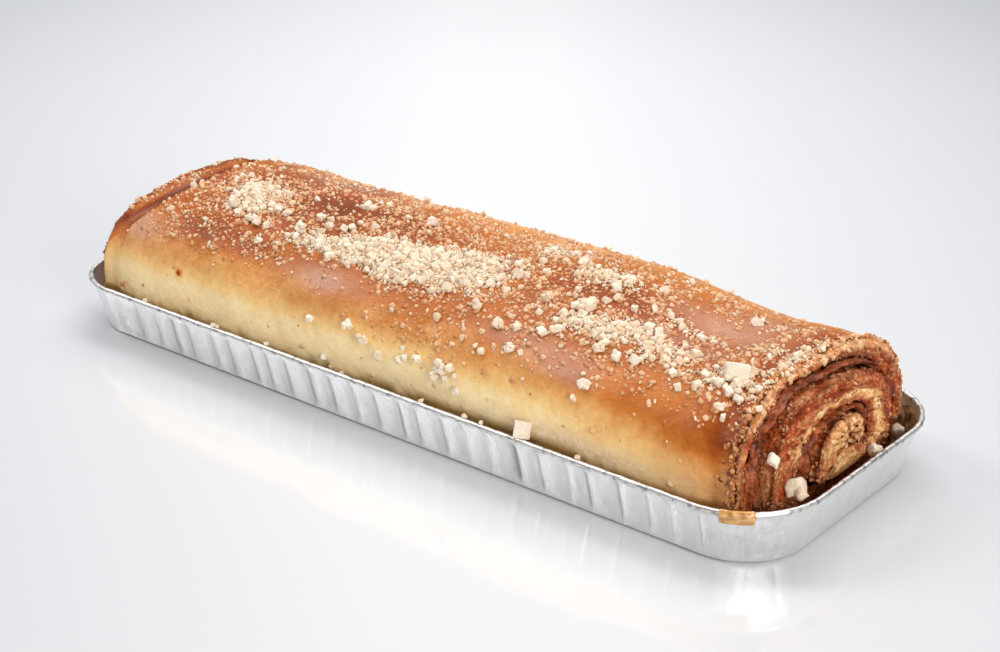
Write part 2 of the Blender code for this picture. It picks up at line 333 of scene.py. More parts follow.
def face_outwards(made):
    """Turns a closed mesh the right way out, going by its volume."""
    skin = bmesh.new()
    skin.from_mesh(made.data)
    if skin.calc_volume(signed=True) < 0:
        bmesh.ops.reverse_faces(skin, faces=skin.faces[:])
        skin.to_mesh(made.data)
    skin.free()


def paint(made, name, values):
    """Stores a value for each point of the mesh, for its material or its crumbs to read."""
    kind = "FLOAT" if np.ndim(values) == 1 else "FLOAT_VECTOR"
    layer = made.data.attributes.new(name, kind, "POINT")
    layer.data.foreach_set("value" if kind == "FLOAT" else "vector", np.ravel(values).astype(np.float32))


def values_of(items, field, width=1):
    """One value, or a row of this many, for each of a mesh's items."""
    values = np.empty(len(items) * width)
    items.foreach_get(field, values)
    return values if width == 1 else values.reshape(-1, width)


def painted_values(made, name):
    return values_of(made.data.attributes[name].data, "value")


def points_of(made):
    return values_of(made.data.vertices, "co", 3)


def push_out(made, distance):
    """Moves each point along its own normal."""
    moved = points_of(made) + values_of(made.data.vertices, "normal", 3) * np.asarray(distance)[:, None]
    made.data.vertices.foreach_set("co", moved.ravel())
    made.data.update()


def block_skin(across, deep, along, crust, sparse):
    """The skin of a block of across x deep x along cells, as places and faces. The first crust cells
    of its deep side keep every station along. The other long sides keep only the sparse ones."""
    places, number, faces = [], {}, []

    def corner(place):
        if place not in number:
            number[place] = len(places)
            places.append(place)
        return number[place]

    def stations_on(line, start, end):
        keeps_all = line[1] == deep and line[0] <= crust
        return range(start, end + 1) if keeps_all else (start, end)

    lines = [(i, deep) for i in range(across, 0, -1)] + [(0, j) for j in range(deep, 0, -1)]
    lines += [(i, 0) for i in range(across)] + [(across, j) for j in range(deep)]
    for one, other in zip(lines, lines[1:] + lines[:1]):
        on_crust = one[1] == other[1] == deep and max(one[0], other[0]) <= crust
        stations = range(along + 1) if on_crust else sparse
        for start, end in zip(stations, stations[1:]):
            go = [(*one, k) for k in stations_on(one, start, end)]
            back = [(*other, k) for k in stations_on(other, start, end)]
            faces.append([corner(place) for place in go + back[::-1]])
    for i in range(across):
        for j in range(deep):
            ring = ((i, j), (i + 1, j), (i + 1, j + 1), (i, j + 1))
            faces.append([corner((*place, 0)) for place in ring[::-1]])
            faces.append([corner((*place, along)) for place in ring])
    return np.array(places), faces


def shares_along():
    """Stations from 0 to 1 along the loaf, closer at its ends, and the sparse ones of hidden faces."""
    end = END_ZONE / (2 * LIP_FROM_MIDDLE)
    shares = np.concatenate(
        (
            np.linspace(0, end, END_STATIONS, endpoint=False),
            np.linspace(end, 1 - end, MIDDLE_STATIONS, endpoint=False),
            np.linspace(1 - end, 1, END_STATIONS + 1),
        )
    )
    last = len(shares) - 1
    ends = list(range(0, END_STATIONS + 1, 2))
    steps = range(1, HIDDEN_STATIONS)
    middle = [END_STATIONS + MIDDLE_STATIONS * k // HIDDEN_STATIONS for k in steps]
    return shares, ends + middle + [last - k for k in reversed(ends)]


def sheet_ends(inward):
    """How ragged a turn's ends are: long waves with short ones on them."""
    round_turn = np.asarray(inward) * TURN_LENGTH
    return sum(
        height * np.array([noise.noise(Vector((s / length, start, 0.0))) for s in round_turn])
        for height, length, start in RAGGED_ENDS
    )


def rolled_sheet(name, from_turn, to_turn, radii, finish, band_stations, sink=0.0, on_crust=False):
    """A closed rolled sheet. Also gives, for each point, how far inward, how deep and how near an end."""
    shares, sparse = shares_along()
    across = round((to_turn - from_turn) * STEPS_PER_TURN)
    crust = STEPS_PER_TURN if on_crust else -1
    if not on_crust:
        shares = shares[sparse]
        sparse = list(range(len(shares)))
    places, faces = block_skin(across, band_stations, len(shares) - 1, crust, sparse)
    inward = from_turn + (to_turn - from_turn) * places[:, 0] / across
    depth = places[:, 1] / band_stations
    share = shares[places[:, 2]]
    each_turn = from_turn + (to_turn - from_turn) * np.arange(across + 1) / across
    ragged = sheet_ends(each_turn)[places[:, 0]]
    points = sheet_point(inward, depth, share, radii, sink, ragged)
    made = mesh_object(name, points, faces, finish)
    near_end = smooth_step((np.abs(2 * share - 1) * LIP_FROM_MIDDLE - TELESCOPE_START) / END_FADE)
    return made, inward, depth, near_end


# ---------------------------------------------------------------- node trees
def set_inputs(tree, node, inputs):
    """Gives a node its inputs. Each is a value or another node's socket."""
    for name, value in inputs.items():
        socket = node.inputs[name]
        if isinstance(value, bpy.types.NodeSocket):
            tree.links.new(value, socket)
        else:
            socket.default_value = value


def add_node(tree, kind, inputs=None, **settings):
    made = tree.nodes.new(kind)
    for name, value in settings.items():
        setattr(made, name, value)
    set_inputs(tree, made, inputs or {})
    return made


def result_of(tree, kind, inputs=None, **settings):
    """The first output of a new node."""
    return add_node(tree, kind, inputs, **settings).outputs[0]


def maths(tree, operation, *values, clamp=False):
    inputs = dict(enumerate(values))
    return result_of(tree, "ShaderNodeMath", inputs, operation=operation, use_clamp=clamp)


def times(tree, value, *factors):
    for factor in factors:
        value = maths(tree, "MULTIPLY", value, factor)
    return value


def varied(tree, value, uneven, amount, clamp=False):
    """The value, moved up and down by this much of a pattern that runs from 0 to 1."""
    return maths(tree, "MULTIPLY_ADD", maths(tree, "SUBTRACT", uneven, 0.5), amount, value, clamp=clamp)


def vector_maths(tree, operation, *values):
    return result_of(tree, "ShaderNodeVectorMath", dict(enumerate(values)), operation=operation)


def reach_along(tree, vector, way):
    """How far a vector reaches in one direction."""
    made = add_node(tree, "ShaderNodeVectorMath", {0: vector, 1: way}, operation="DOT_PRODUCT")
    return made.outputs["Value"]


def scaled(tree, vector, factor):
    return result_of(tree, "ShaderNodeVectorMath", {0: vector, "Scale": factor}, operation="SCALE")


def fitted(tree, value, low, high, to_low=0.0, to_high=1.0):
    """The value's range from low to high, stretched to another range and held inside it."""
    inputs = {"Value": value, 1: low, 2: high, 3: to_low, 4: to_high}
    return result_of(tree, "ShaderNodeMapRange", inputs)


def mixed(tree, factor, one, other, blend="MIX"):
    inputs = {0: factor, 6: one, 7: other}
    made = add_node(tree, "ShaderNodeMix", inputs, data_type="RGBA", blend_type=blend)
    return made.outputs[2]


def clouds(tree, vector, size, detail=3.0, roughness=0.5):
    """Noise from 0 to 1 with features of about this size, in metres."""
    inputs = {"Vector": vector, "Scale": 1 / size, "Detail": detail, "Roughness": roughness}
    return add_node(tree, "ShaderNodeTexNoise", inputs).outputs["Fac"]


def grains(tree, vector, size):
    """How far each place is from the middle of its cell, in cells of about this size."""
    inputs = {"Vector": vector, "Scale": 1 / size}
    return add_node(tree, "ShaderNodeTexVoronoi", inputs).outputs["Distance"]


def specks(tree, vector, size, share):
    """Specks, 0 or 1 with soft edges, in cells of about this size. Share is how many cells have one."""
    cells = add_node(tree, "ShaderNodeTexVoronoi", {"Vector": vector, "Scale": 1 / size}).outputs
    chance = result_of(tree, "ShaderNodeSeparateColor", {0: cells["Color"]})
    near = fitted(tree, cells["Distance"], 0.12, 0.42, 1.0, 0.0)
    return times(tree, near, maths(tree, "LESS_THAN", chance, share))


def colour_steps(tree, factor, steps):
    """A colour that runs through steps of (place, red, green, blue)."""
    ramp = add_node(tree, "ShaderNodeValToRGB", {"Fac": factor})
    places = [(place, tone(*colour)) for place, *colour in steps]
    for place, colour in places[1:-1]:
        ramp.color_ramp.elements.new(place).color = colour
    first, last = ramp.color_ramp.elements[0], ramp.color_ramp.elements[-1]
    first.position, first.color = places[0]
    last.position, last.color = places[-1]
    return ramp.outputs["Color"]


def tone(red, green, blue):
    """A colour given as the eye sees it, 0 to 255, in the linear values that a shader takes."""
    shares = [part / 255 for part in (red, green, blue)]
    linear = [s / 12.92 if s <= 0.04 else ((s + 0.055) / 1.055) ** 2.4 for s in shares]
    return (*linear, 1.0)


def new_finish(name):
    """A material and its node tree."""
    made = bpy.data.materials.new(name)
    made.use_nodes = True
    return made, made.node_tree


def with_shader(made, inputs):
    """Gives the material's own shader its inputs."""
    set_inputs(made.node_tree, made.node_tree.nodes["Principled BSDF"], inputs)
    return made


def object_place(tree):
    return add_node(tree, "ShaderNodeTexCoord").outputs["Object"]


def painted(tree, name, output="Fac"):
    return add_node(tree, "ShaderNodeAttribute", attribute_name=name).outputs[output]


def raised(tree, height, depth, under=None):
    """A bump from a height of 0 to 1 that stands for this depth in metres."""
    inputs = {"Height": height, "Distance": depth, "Strength": 1.0}
    if under is not None:
        inputs["Normal"] = under
    return add_node(tree, "ShaderNodeBump", inputs).outputs["Normal"]


# ---------------------------------------------------------------- finishes
# Colours that a pattern runs through: place, then red, green and blue as the eye sees them.
CRUST_COLOURS = (
    (0.00, 250, 224, 170),
    (0.18, 238, 194, 126),
    (0.36, 213, 153, 89),
    (0.54, 183, 106, 38),
    (0.74, 146, 67, 18),
    (1.00, 84, 34, 12),
)
CRUMB_COLOURS = ((0.28, 190, 108, 52), (0.46, 230, 168, 100), (0.66, 250, 222, 174))
STAIN_COLOURS = ((0.28, 68, 20, 8), (0.41, 128, 46, 18), (0.55, 162, 72, 33), (0.72, 212, 136, 82))
SYRUP_COLOURS = ((0.30, 50, 14, 5), (0.46, 98, 36, 12), (0.60, 146, 64, 24), (0.76, 196, 114, 58))
RESIDUE_COLOURS = ((0.34, 84, 50, 28), (0.50, 146, 106, 68), (0.64, 202, 178, 144))
EGG_WASH_COLOURS = ((0.35, 168, 110, 46), (0.65, 216, 168, 98))
FLOOR_LIT_MIDDLE = (0.70, 0.705, 0.715, 1)
FLOOR_SHADED_SIDES = (0.49, 0.50, 0.525, 1)


def baked_dough_finish():
    """Egg-washed crust from pale sides to a dark top, with torn, cinnamon-stained bands at the ends,
    painted highlights where the egg wash is thickest, and painted shade at its foot and in the far crease.
    """
    made, tree = new_finish("baked_dough")
    place = object_place(tree)
    torn, glaze_and_highlight = painted(tree, "torn"), painted(tree, "glaze_and_highlight")
    dusted, textured = painted(tree, "dust_cover"), painted(tree, "textured")
    along_turn = painted(tree, "turn_place", "Vector")

    blotches = clouds(tree, place, 0.013, 4.0, 0.6)
    freckles = clouds(tree, place, 0.0026, 3.0, 0.6)
    mottle = varied(tree, varied(tree, painted(tree, "browning_and_shade"), blotches, 0.32), freckles, 0.20)
    crust = colour_steps(tree, mottle, CRUST_COLOURS)
    flour = mixed(tree, fitted(tree, freckles, 0.3, 0.7), tone(206, 176, 130), tone(240, 218, 184))
    crust = mixed(tree, painted(tree, "floury"), crust, flour)
    fine = specks(tree, place, 0.0013, times(tree, dusted, 0.8))
    melted = specks(tree, place, 0.0030, times(tree, dusted, 0.9))
    for cover, share, colour in (
        # painted shade along the crust's foot, above the tray's rim
        (painted(tree, "painted_foot_shade"), 0.80, tone(134, 92, 38)),
        (melted, 0.45, tone(220, 158, 98)),
        (fine, 0.70, tone(234, 186, 132)),
        # a painted highlight where the egg wash lies thickest
        (glaze_and_highlight, 0.50, tone(180, 150, 140)),
    ):
        crust = mixed(tree, times(tree, cover, share), crust, colour)
    heaped = maths(tree, "MULTIPLY_ADD", freckles, 0.6, painted(tree, "crumb_cover"))
    bed = fitted(tree, heaped, 0.75, 1.10)
    crust = mixed(tree, bed, crust, tone(226, 196, 150))

    crumbly = clouds(tree, place, 0.0011, 3.0, 0.6)
    drawn_out = vector_maths(tree, "MULTIPLY", along_turn, (0.65, 1.3, 1.0))
    streaks = varied(tree, clouds(tree, drawn_out, 0.0034, 4.0, 0.65), crumbly, 0.55)
    smears = clouds(tree, vector_maths(tree, "MULTIPLY", along_turn, (0.5, 1.0, 1.0)), 0.0070, 3.0, 0.6)
    inside = colour_steps(tree, streaks, CRUMB_COLOURS)
    stain = colour_steps(tree, streaks, STAIN_COLOURS)
    # The cinnamon attribute also carries painted shade on the low front of the torn ends.
    stained = varied(tree, painted(tree, "cinnamon"), smears, 1.5, clamp=True)

    gloss = fitted(tree, clouds(tree, place, 0.009), 0.35, 0.65, 0.30, 0.50)
    for cover, change in ((torn, -0.14), (bed, 0.3), (glaze_and_highlight, -0.20)):
        gloss = maths(tree, "MULTIPLY_ADD", cover, change, gloss)

    skin = clouds(tree, place, 0.0016, 4.0, 0.65)
    pores = maths(tree, "SUBTRACT", 1.0, fitted(tree, grains(tree, place, 0.0034), 0.0, 0.16))
    pits = times(tree, pores, -1.0)
    sandy = maths(tree, "MAXIMUM", fine, times(tree, bed, freckles))
    facing = None
    for height, depth in ((skin, 0.00035), (pits, 0.00012), (sandy, 0.0005), (melted, 0.0007)):
        facing = raised(tree, times(tree, height, textured), depth, facing)
    rough_end = times(tree, maths(tree, "SUBTRACT", streaks, 0.48), painted(tree, "ragged"))
    return with_shader(
        made,
        {
            "Base Color": mixed(tree, torn, crust, mixed(tree, stained, inside, stain)),
            "Roughness": gloss,
            "Specular IOR Level": 0.13,
            "Coat Weight": 0.05,
            "Coat Roughness": 0.24,
            "Normal": raised(tree, rough_end, 0.0009, facing),
        },
    )


def cinnamon_finish():
    """Dark cinnamon sugar that has melted into a glossy, grainy paste."""
    made, tree = new_finish("cinnamon_filling")
    place = object_place(tree)
    grain = grains(tree, place, 0.0015)
    patches = clouds(tree, place, 0.0045, 4.0, 0.6)
    syrup = colour_steps(tree, patches, SYRUP_COLOURS)
    lumpy = raised(tree, times(tree, grain, -1.0), 0.0005)
    return with_shader(
        made,
        {
            "Base Color": mixed(tree, fitted(tree, grain, 0.1, 0.8, 0.0, 0.30), syrup, tone(186, 100, 52)),
            "Roughness": fitted(tree, patches, 0.3, 0.7, 0.28, 0.60),
            "Specular IOR Level": 0.30,
            "Coat Weight": 0.08,
            "Coat Roughness": 0.20,
            "Normal": raised(tree, patches, 0.0007, lumpy),
        },
    )


def streusel_finish(name, pale, toasted):
    """Butter, sugar and flour crumbs, each toasted a little differently."""
    made, tree = new_finish(name)
    place = object_place(tree)
    toast = maths(tree, "MULTIPLY_ADD", clouds(tree, place, 0.0022), 0.5, painted(tree, "toast"))
    colour = mixed(tree, fitted(tree, toast, 0.2, 1.2), pale, toasted)
    granules = clouds(tree, place, 0.0008, 3.0, 0.65)
    flecks = fitted(tree, granules, 0.32, 0.52, 0.86, 1.0)
    colour = mixed(tree, 1.0, colour, flecks, "MULTIPLY")
    bumpy = raised(tree, granules, 0.0005)
    return with_shader(made, {"Base Color": colour, "Roughness": 0.72, "Normal": bumpy})


def foil_finish():
    """Satin aluminium foil with fine crumples and a dull rolled grain, painted shade in its flute creases
    and the bead's dents, and painted shade on the bead that tones down its highlight.
    """
    made, tree = new_finish("foil")
    place = object_place(tree)
    crumples = clouds(tree, place, 0.0040, 3.0, 0.5)
    drawn = clouds(tree, vector_maths(tree, "MULTIPLY", place, (1.0, 1.0, 0.10)), 0.0012, 3.0)
    shade = mixed(tree, drawn, tone(226, 227, 226), tone(244, 245, 244))
    # Painted shade on the bead, to tone down its bright reflection.
    bead_foot, bead_middle = TRAY_HEIGHT - 2 * BEAD_RADIUS, TRAY_HEIGHT - BEAD_RADIUS
    bead_shade = fitted(tree, reach_along(tree, place, (0, 0, 1)), bead_foot, bead_middle, 0.0, 0.55)
    shade = mixed(tree, bead_shade, shade, tone(206, 196, 190))
    # Painted shade in the flute creases and the bead's dents.
    creased = fitted(tree, painted(tree, "crease"), 0.40, 1.0, 0.0, 0.65)
    return with_shader(
        made,
        {
            "Base Color": mixed(tree, creased, shade, tone(120, 122, 122)),
            "Metallic": 1.0,
            "Roughness": fitted(tree, drawn, 0.3, 0.7, 0.38, 0.52),
            "Normal": raised(tree, drawn, 0.00008, raised(tree, crumples, 0.0004)),
        },
    )


def residue_finish():
    """Butter and sugar that have boiled over and browned on the foil."""
    made, tree = new_finish("browned_sugar")
    patches = clouds(tree, object_place(tree), 0.0040, 4.0, 0.6)
    colour = colour_steps(tree, patches, RESIDUE_COLOURS)
    bumpy = raised(tree, patches, 0.0010)
    return with_shader(made, {"Base Color": colour, "Roughness": 0.35, "Normal": bumpy})


def glaze_finish():
    """A run of egg wash, baked golden."""
    made, tree = new_finish("baked_egg_wash")
    patches = clouds(tree, object_place(tree), 0.0025, 3.0, 0.5)
    colour = colour_steps(tree, patches, EGG_WASH_COLOURS)
    bumpy = raised(tree, patches, 0.0004)
    inputs = {"Base Color": colour, "Roughness": 0.25, "Coat Weight": 0.5, "Normal": bumpy}
    return with_shader(made, inputs)


def floor_finish():
    """A pale, glossy studio floor with painted light along the middle of the picture and further off, and
    painted shade towards the sides and close in front.
    """
    made, tree = new_finish("white_floor")
    turned = math.radians(BEARING)
    from_camera = vector_maths(tree, "SUBTRACT", object_place(tree), (EYE[0], EYE[1], 0.0))
    aside = reach_along(tree, from_camera, (math.cos(turned), math.sin(turned), 0.0))
    ahead = reach_along(tree, from_camera, (-math.sin(turned), math.cos(turned), 0.0))
    away = fitted(tree, maths(tree, "ABSOLUTE", aside), 0.03, 0.31)
    shade = mixed(tree, away, FLOOR_LIT_MIDDLE, FLOOR_SHADED_SIDES)
    shade = mixed(tree, 1.0, shade, fitted(tree, ahead, 0.40, 1.15, 0.92, 1.12), "MULTIPLY")
    return with_shader(made, {"Base Color": shade, "Roughness": 0.09, "IOR": 1.9})


# ---------------------------------------------------------------- the dough and its filling
# Browning of the crust: along X, angle, spread in metres and degrees, amount.
BROWNING = (
    (-0.070, 97, 0.040, 26, 0.16),
    (-0.093, 137, 0.012, 9, 0.22),
    (-0.0936, 168, 0.0011, 1.8, 0.9),
    (-0.068, 139, 0.016, 8, 0.18),
    (-0.030, 92, 0.030, 12, 0.14),
    (0.020, 140, 0.050, 9, 0.08),
    (0.062, 96, 0.024, 12, 0.16),
    (0.100, 84, 0.018, 10, -0.10),
    (0.084, 150, 0.018, 9, 0.10),
    (0.120, 168, 0.022, 22, 0.34),
    (0.132, 120, 0.009, 60, 0.10),
    (-0.122, 132, 0.012, 24, -0.06),
    (0.010, 66, 0.060, 18, -0.22),
    (0.088, 176, 0.016, 8, 0.12),
    (0.137, 176, 0.008, 20, 0.10),
    (-0.130, 62, 0.014, 18, -0.14),
)
# Where the egg wash lies thickest and shines, with a painted highlight in its colour: along X, angle,
# spread in metres and degrees, amount.
GLAZE_AND_HIGHLIGHT = (
    (-0.030, 142, 0.015, 8, 1.0),
    (0.100, 84, 0.018, 10, 1.0),
    (0.096, 108, 0.016, 8, 0.6),
    (-0.077, 69, 0.022, 9, 0.9),
    (-0.120, 147, 0.010, 10, 0.9),
    (0.060, 140, 0.022, 7, 0.7),
    (0.074, 149, 0.012, 6, 0.7),
    (0.108, 66, 0.012, 8, 0.8),
)
# Where flour and paste cling low on the front: along X, spread, amount.
FLOURY = ((0.078, 0.040, 1.0), (0.010, 0.030, 0.45))
FLOURY_TOP = 0.0250
# The far end's outer turn stops short on top: a crease there leans back from the sides to the crown.
FAR_CREASE = -0.1173  # at its furthest from the end
FAR_CREASE_ANGLE = 101
FAR_CREASE_BEND = 4.6e-6  # metres for each degree squared away from there
FAR_CREASE_REACH = 0.0105
FAR_CREASE_DEPTH = 0.0038
FAR_CREASE_SECOND = 0.0074  # from the crease to the fainter edge past it
# The crust's relief and the torn ends, in metres.
SWELL_SIZE = 0.022
SWELL_HEIGHT = 0.00060
DIMPLE_SIZE = 0.0052
DIMPLE_HEIGHT = 0.00024
RIM_FROM_LIP = 0.0009
RIM_WIDTH = 0.0010
RIM_HEIGHT = 0.0006
DIP_FROM_LIP = 0.0070
DIP_WIDTH = 0.0028
DIP_DEPTH = 0.0007
TEAR_SIZE = 0.0026
TEAR_DEPTH = 0.0013
CREST_HEIGHT = 0.0014
CLOD_SIZE = 0.0024
CLOD_HEIGHT = 0.0010
FOOT_SHADE_TOP = 0.0183  # how high painted shade reaches up the crust's foot, above the tray's rim


def crust_browning(angle, along):
    """0 on the pale low sides, towards 1 on the top."""
    turned = np.asarray(angle) % 360
    from_top = np.abs(turned - CROWN_ANGLE)
    on_shoulder, on_side = smooth_step((from_top - 26) / 30), smooth_step((from_top - 54) / 28)
    return 0.66 - 0.22 * on_shoulder - 0.42 * on_side + spots(BROWNING, along, turned)


def floury_places(points):
    """How floury the crust is, low on its front side."""
    along, height = points[:, 0], points[:, 2]
    amount = sum(share * rolled_off(along - x, spread) for x, spread, share in FLOURY)
    uneven = 0.5 + 0.5 * relief(points, 0.007, 3, 12.0)
    low = smooth_step((FLOURY_TOP + 0.007 * (uneven - 0.5) - height) / 0.0022)
    return np.where(points[:, 1] < 0, np.clip(amount * low * (0.5 + 0.9 * uneven), 0, 1), 0.0)


def far_crease(angle, along):
    """Height of the crease near the far end, its painted shade, and how bare of crumbs it is. Its wall on
    the loaf's side is steep, and past it the crust rises gently to a second, fainter edge. The painted
    shade darkens the crease, the hollow before it and that second edge."""
    turned = np.asarray(angle) % 360
    bend = np.minimum(FAR_CREASE_BEND * (turned - FAR_CREASE_ANGLE) ** 2, FAR_CREASE_REACH)
    beyond = along - (FAR_CREASE - bend)
    shown = smooth_step((turned - 30) / 25) * smooth_step((172 - turned) / 26)
    cut = np.where(beyond > 0, rolled_off(beyond, 0.0011), rolled_off(beyond, 0.0062))
    second = rolled_off(beyond + FAR_CREASE_SECOND, 0.0010)
    height = -FAR_CREASE_DEPTH * cut + 0.0009 * rolled_off(beyond - 0.0030, 0.0022) - 0.0006 * second
    line, shadow = rolled_off(beyond + 0.0008, 0.0012), rolled_off(beyond + 0.0040, 0.0032)
    # Painted shade in and beside the crease.
    dark = 0.44 * line + 0.16 * shadow + 0.24 * second
    bare = np.where(beyond > 0, rolled_off(beyond, 0.0012), rolled_off(beyond + 0.0040, 0.0055))
    return height * shown, dark * shown, bare * shown


def build_dough(finish):
    """The rolled dough, with what its finish and its crumbs read painted on it."""
    made, inward, depth, near_end = rolled_sheet(
        "baked_dough_roll", 0.0, TURNS + 1, dough_radii, finish, DOUGH_STATIONS, on_crust=True
    )
    points = points_of(made)
    angle = EDGE_ANGLE - 360 * inward
    along, height = points[:, 0], points[:, 2]
    far_end = along < 0
    crust = (depth > 1 - 1e-6) & (inward <= 1)
    face = (depth > 1e-6) & (depth < 1 - 1e-6)
    upper = smooth_step((height - 0.034) / 0.014)
    clear = smooth_step((height - 0.002) / 0.004)
    crease, crease_shade, creased = far_crease(angle, along)
    from_lip = sheet_point(inward, 1.0, 1.0, dough_radii, 0.0, sheet_ends(inward))[:, 0] - np.abs(along)
    rim = rolled_off(from_lip - RIM_FROM_LIP, RIM_WIDTH)
    dip = rolled_off(from_lip - DIP_FROM_LIP, DIP_WIDTH)

    # The crust's relief, and the tears and bulges of the torn bands.
    swells = relief(points, SWELL_SIZE, 2) * SWELL_HEIGHT
    dimples = relief(points, DIMPLE_SIZE, 3, 4.0) * DIMPLE_HEIGHT
    crust_height = (swells + dimples) * (1 - 0.5 * near_end) + crease + RIM_HEIGHT * rim - DIP_DEPTH * dip
    crust_height = crust_height * smooth_step((height - 0.006) / 0.008)
    round_turn = np.stack((inward * TURN_LENGTH / 2.5, depth * 0.008, along), axis=-1)
    tears = relief(round_turn, TEAR_SIZE, 3, 8.0) * TEAR_DEPTH * near_end
    crest = CREST_HEIGHT * (1 - (2 * depth - 1) ** 2) * near_end
    edge = smooth_step((1 - depth) / 0.25) * smooth_step(depth / 0.20)
    torn_height = (tears * edge + crest) * clear
    push_out(made, np.where(crust, crust_height, 0.0) + np.where(face, torn_height, 0.0))

    # Cinnamon stains each torn band beside the filling, and leaves a pale line along its crest.
    second_turn = smooth_step((inward - 1.0) / 0.12) * smooth_step((1.95 - inward) / 0.15)
    crest_line = 0.52 - 0.20 * second_turn + 0.12 * relief(round_turn * (1, 0, 0), 0.005, 2, 3.0)
    stain = 0.05 + 0.95 * smooth_step((np.abs(depth - crest_line) - 0.05) / 0.20)
    stain = np.where(inward > 2, 0.30 * stain, stain)
    outer_stain = 1 - (0.15 + 0.70 * upper) * smooth_step((depth - 0.55) / 0.3)
    stain = np.where(inward < 1, outer_stain, stain)
    # Painted shade: the low front of the torn ends, where shadow falls, gets the stain's dark colour.
    low = smooth_step((0.034 - height) / 0.014) * smooth_step(-points[:, 1] / 0.020)
    stain = np.maximum(stain, 0.85 * low)
    paint(made, "torn", np.where(crust, 0.0, 1.0))
    outer = inward < 1.02
    beside_lip = np.where(outer, smooth_step((depth - 0.60) / 0.30), 0.0)
    paint(made, "textured", 1 - np.where(crust, 0.0, beside_lip))
    ragged = np.where(outer, smooth_step((0.90 - depth) / 0.35), 1.0)
    paint(made, "ragged", np.where(crust, 0.0, ragged))
    paint(made, "cinnamon", np.where(face, stain, np.where(crust, 0.0, 1.0)))

    # The crust browns most at its lips. Its foot, just above the tray's rim, is darkened with painted
    # shade, where the gap under the rim lies in shadow.
    pale_lip = np.where(far_end, -0.15, 0.60) * upper
    lip_tone = 0.10 * dip + rim * (0.16 + 0.20 * upper - pale_lip)
    lip_tone = lip_tone + 0.10 * (1 - upper) * rolled_off(from_lip, 0.0080)
    lip_tone = lip_tone * np.where(far_end, 0.6, 1.0)
    uneven = 0.0007 * relief(points, 0.004, 2, 51.0)
    foot_shade_line = FOOT_SHADE_TOP + 0.0018 * rolled_off(along - 0.050, 0.036) + uneven
    foot_shade = smooth_step((foot_shade_line - height) / 0.0008)
    # The crust's browning, with the painted shade of the far crease and of the foot added to it.
    paint(made, "browning_and_shade", crust_browning(angle, along) + crease_shade + lip_tone + 0.10 * foot_shade)
    paint(made, "painted_foot_shade", np.where(crust, foot_shade, 0.0))
    paint(made, "creased", np.where(crust, creased, 0.0))
    lip_top = upper * smooth_step((depth - 0.45) / 0.3)
    paint(made, "lip_top", np.where(face & (inward < 1), lip_top, 0.0))
    paint(made, "floury", floury_places(points) * (1 - 0.7 * foot_shade))
    paint(made, "glaze_and_highlight", np.clip(spots(GLAZE_AND_HIGHLIGHT, along, angle), 0, 1))
    turn_place = np.stack((inward * TURN_LENGTH, depth * 0.012, along), axis=-1)
    paint(made, "turn_place", np.where(inward[:, None] > 2.1, points * (1, 2, 2), turn_place))

    # Cinnamon grains lie thickest on stained dough, and beside the near lip.
    spill = near_end * clear * smooth_step((relief(points, 0.006, 2, 31.0) + 0.1) / 0.4)
    on_face = (0.20 + 0.4 * stain) * (1 + 1.7 * low)
    at_edge = np.where(far_end, 0.0, 1.5) * (1 - upper) * rolled_off(from_lip, 0.0040)
    on_crust = at_edge * near_end * clear
    paint(made, "spill_cover", np.where(crust, on_crust, spill * np.where(face, on_face, 0.8)))
    return made


def build_filling(finish):
    """The rolled filling, a little shorter than the dough, with clods on its ends."""
    turns = FILLING_SHORTER, TURNS - FILLING_CORE_GAP
    made, _, _, near_end = rolled_sheet(
        "cinnamon_filling_sheet", *turns, filling_radii, finish, FILLING_STATIONS, sink=FILLING_SINK
    )
    push_out(made, relief(points_of(made), CLOD_SIZE, 3, 2.0) * CLOD_HEIGHT * near_end)
    return made


# ---------------------------------------------------------------- streusel
COARSE_GRANULES = 0.0013
FINE_GRANULES = 0.0005
SINGLE_CRUMB = 0.0016  # radius below which nothing is stuck to a crumb
# What is strewn over the dough, as thickly as a cover painted on it says: piece, cover, kinds of
# crumb, crumbs per square metre, smallest and largest radius, rise in radii, pile height, seed.
STREWN = (
    ("streusel_crumbs", "crumb_cover", "chips", 560000.0, 0.0006, 0.0016, 0.2, 0.0006, 5),
    ("streusel_grit", "crumb_cover", "grit", 2400000.0, 0.0003, 0.0007, 0.4, 0.0007, 31),
    ("streusel_dust", "dust_cover", "grit", 700000.0, 0.0004, 0.0014, -0.15, 0.0, 11),
    ("cinnamon_grains", "spill_cover", "grit", 900000.0, 0.0003, 0.0010, 0.1, 0.0, 23),
)
# The scattering tree's inputs that those numbers go to.
STREWN_INPUTS = (
    "Crumbs per square metre",
    "Smallest radius",
    "Largest radius",
    "Rise",
    "Pile height",
    "Seed",
)


def any_way(draw):
    return Vector([draw.gauss(0, 1) for _ in range(3)]).normalized()


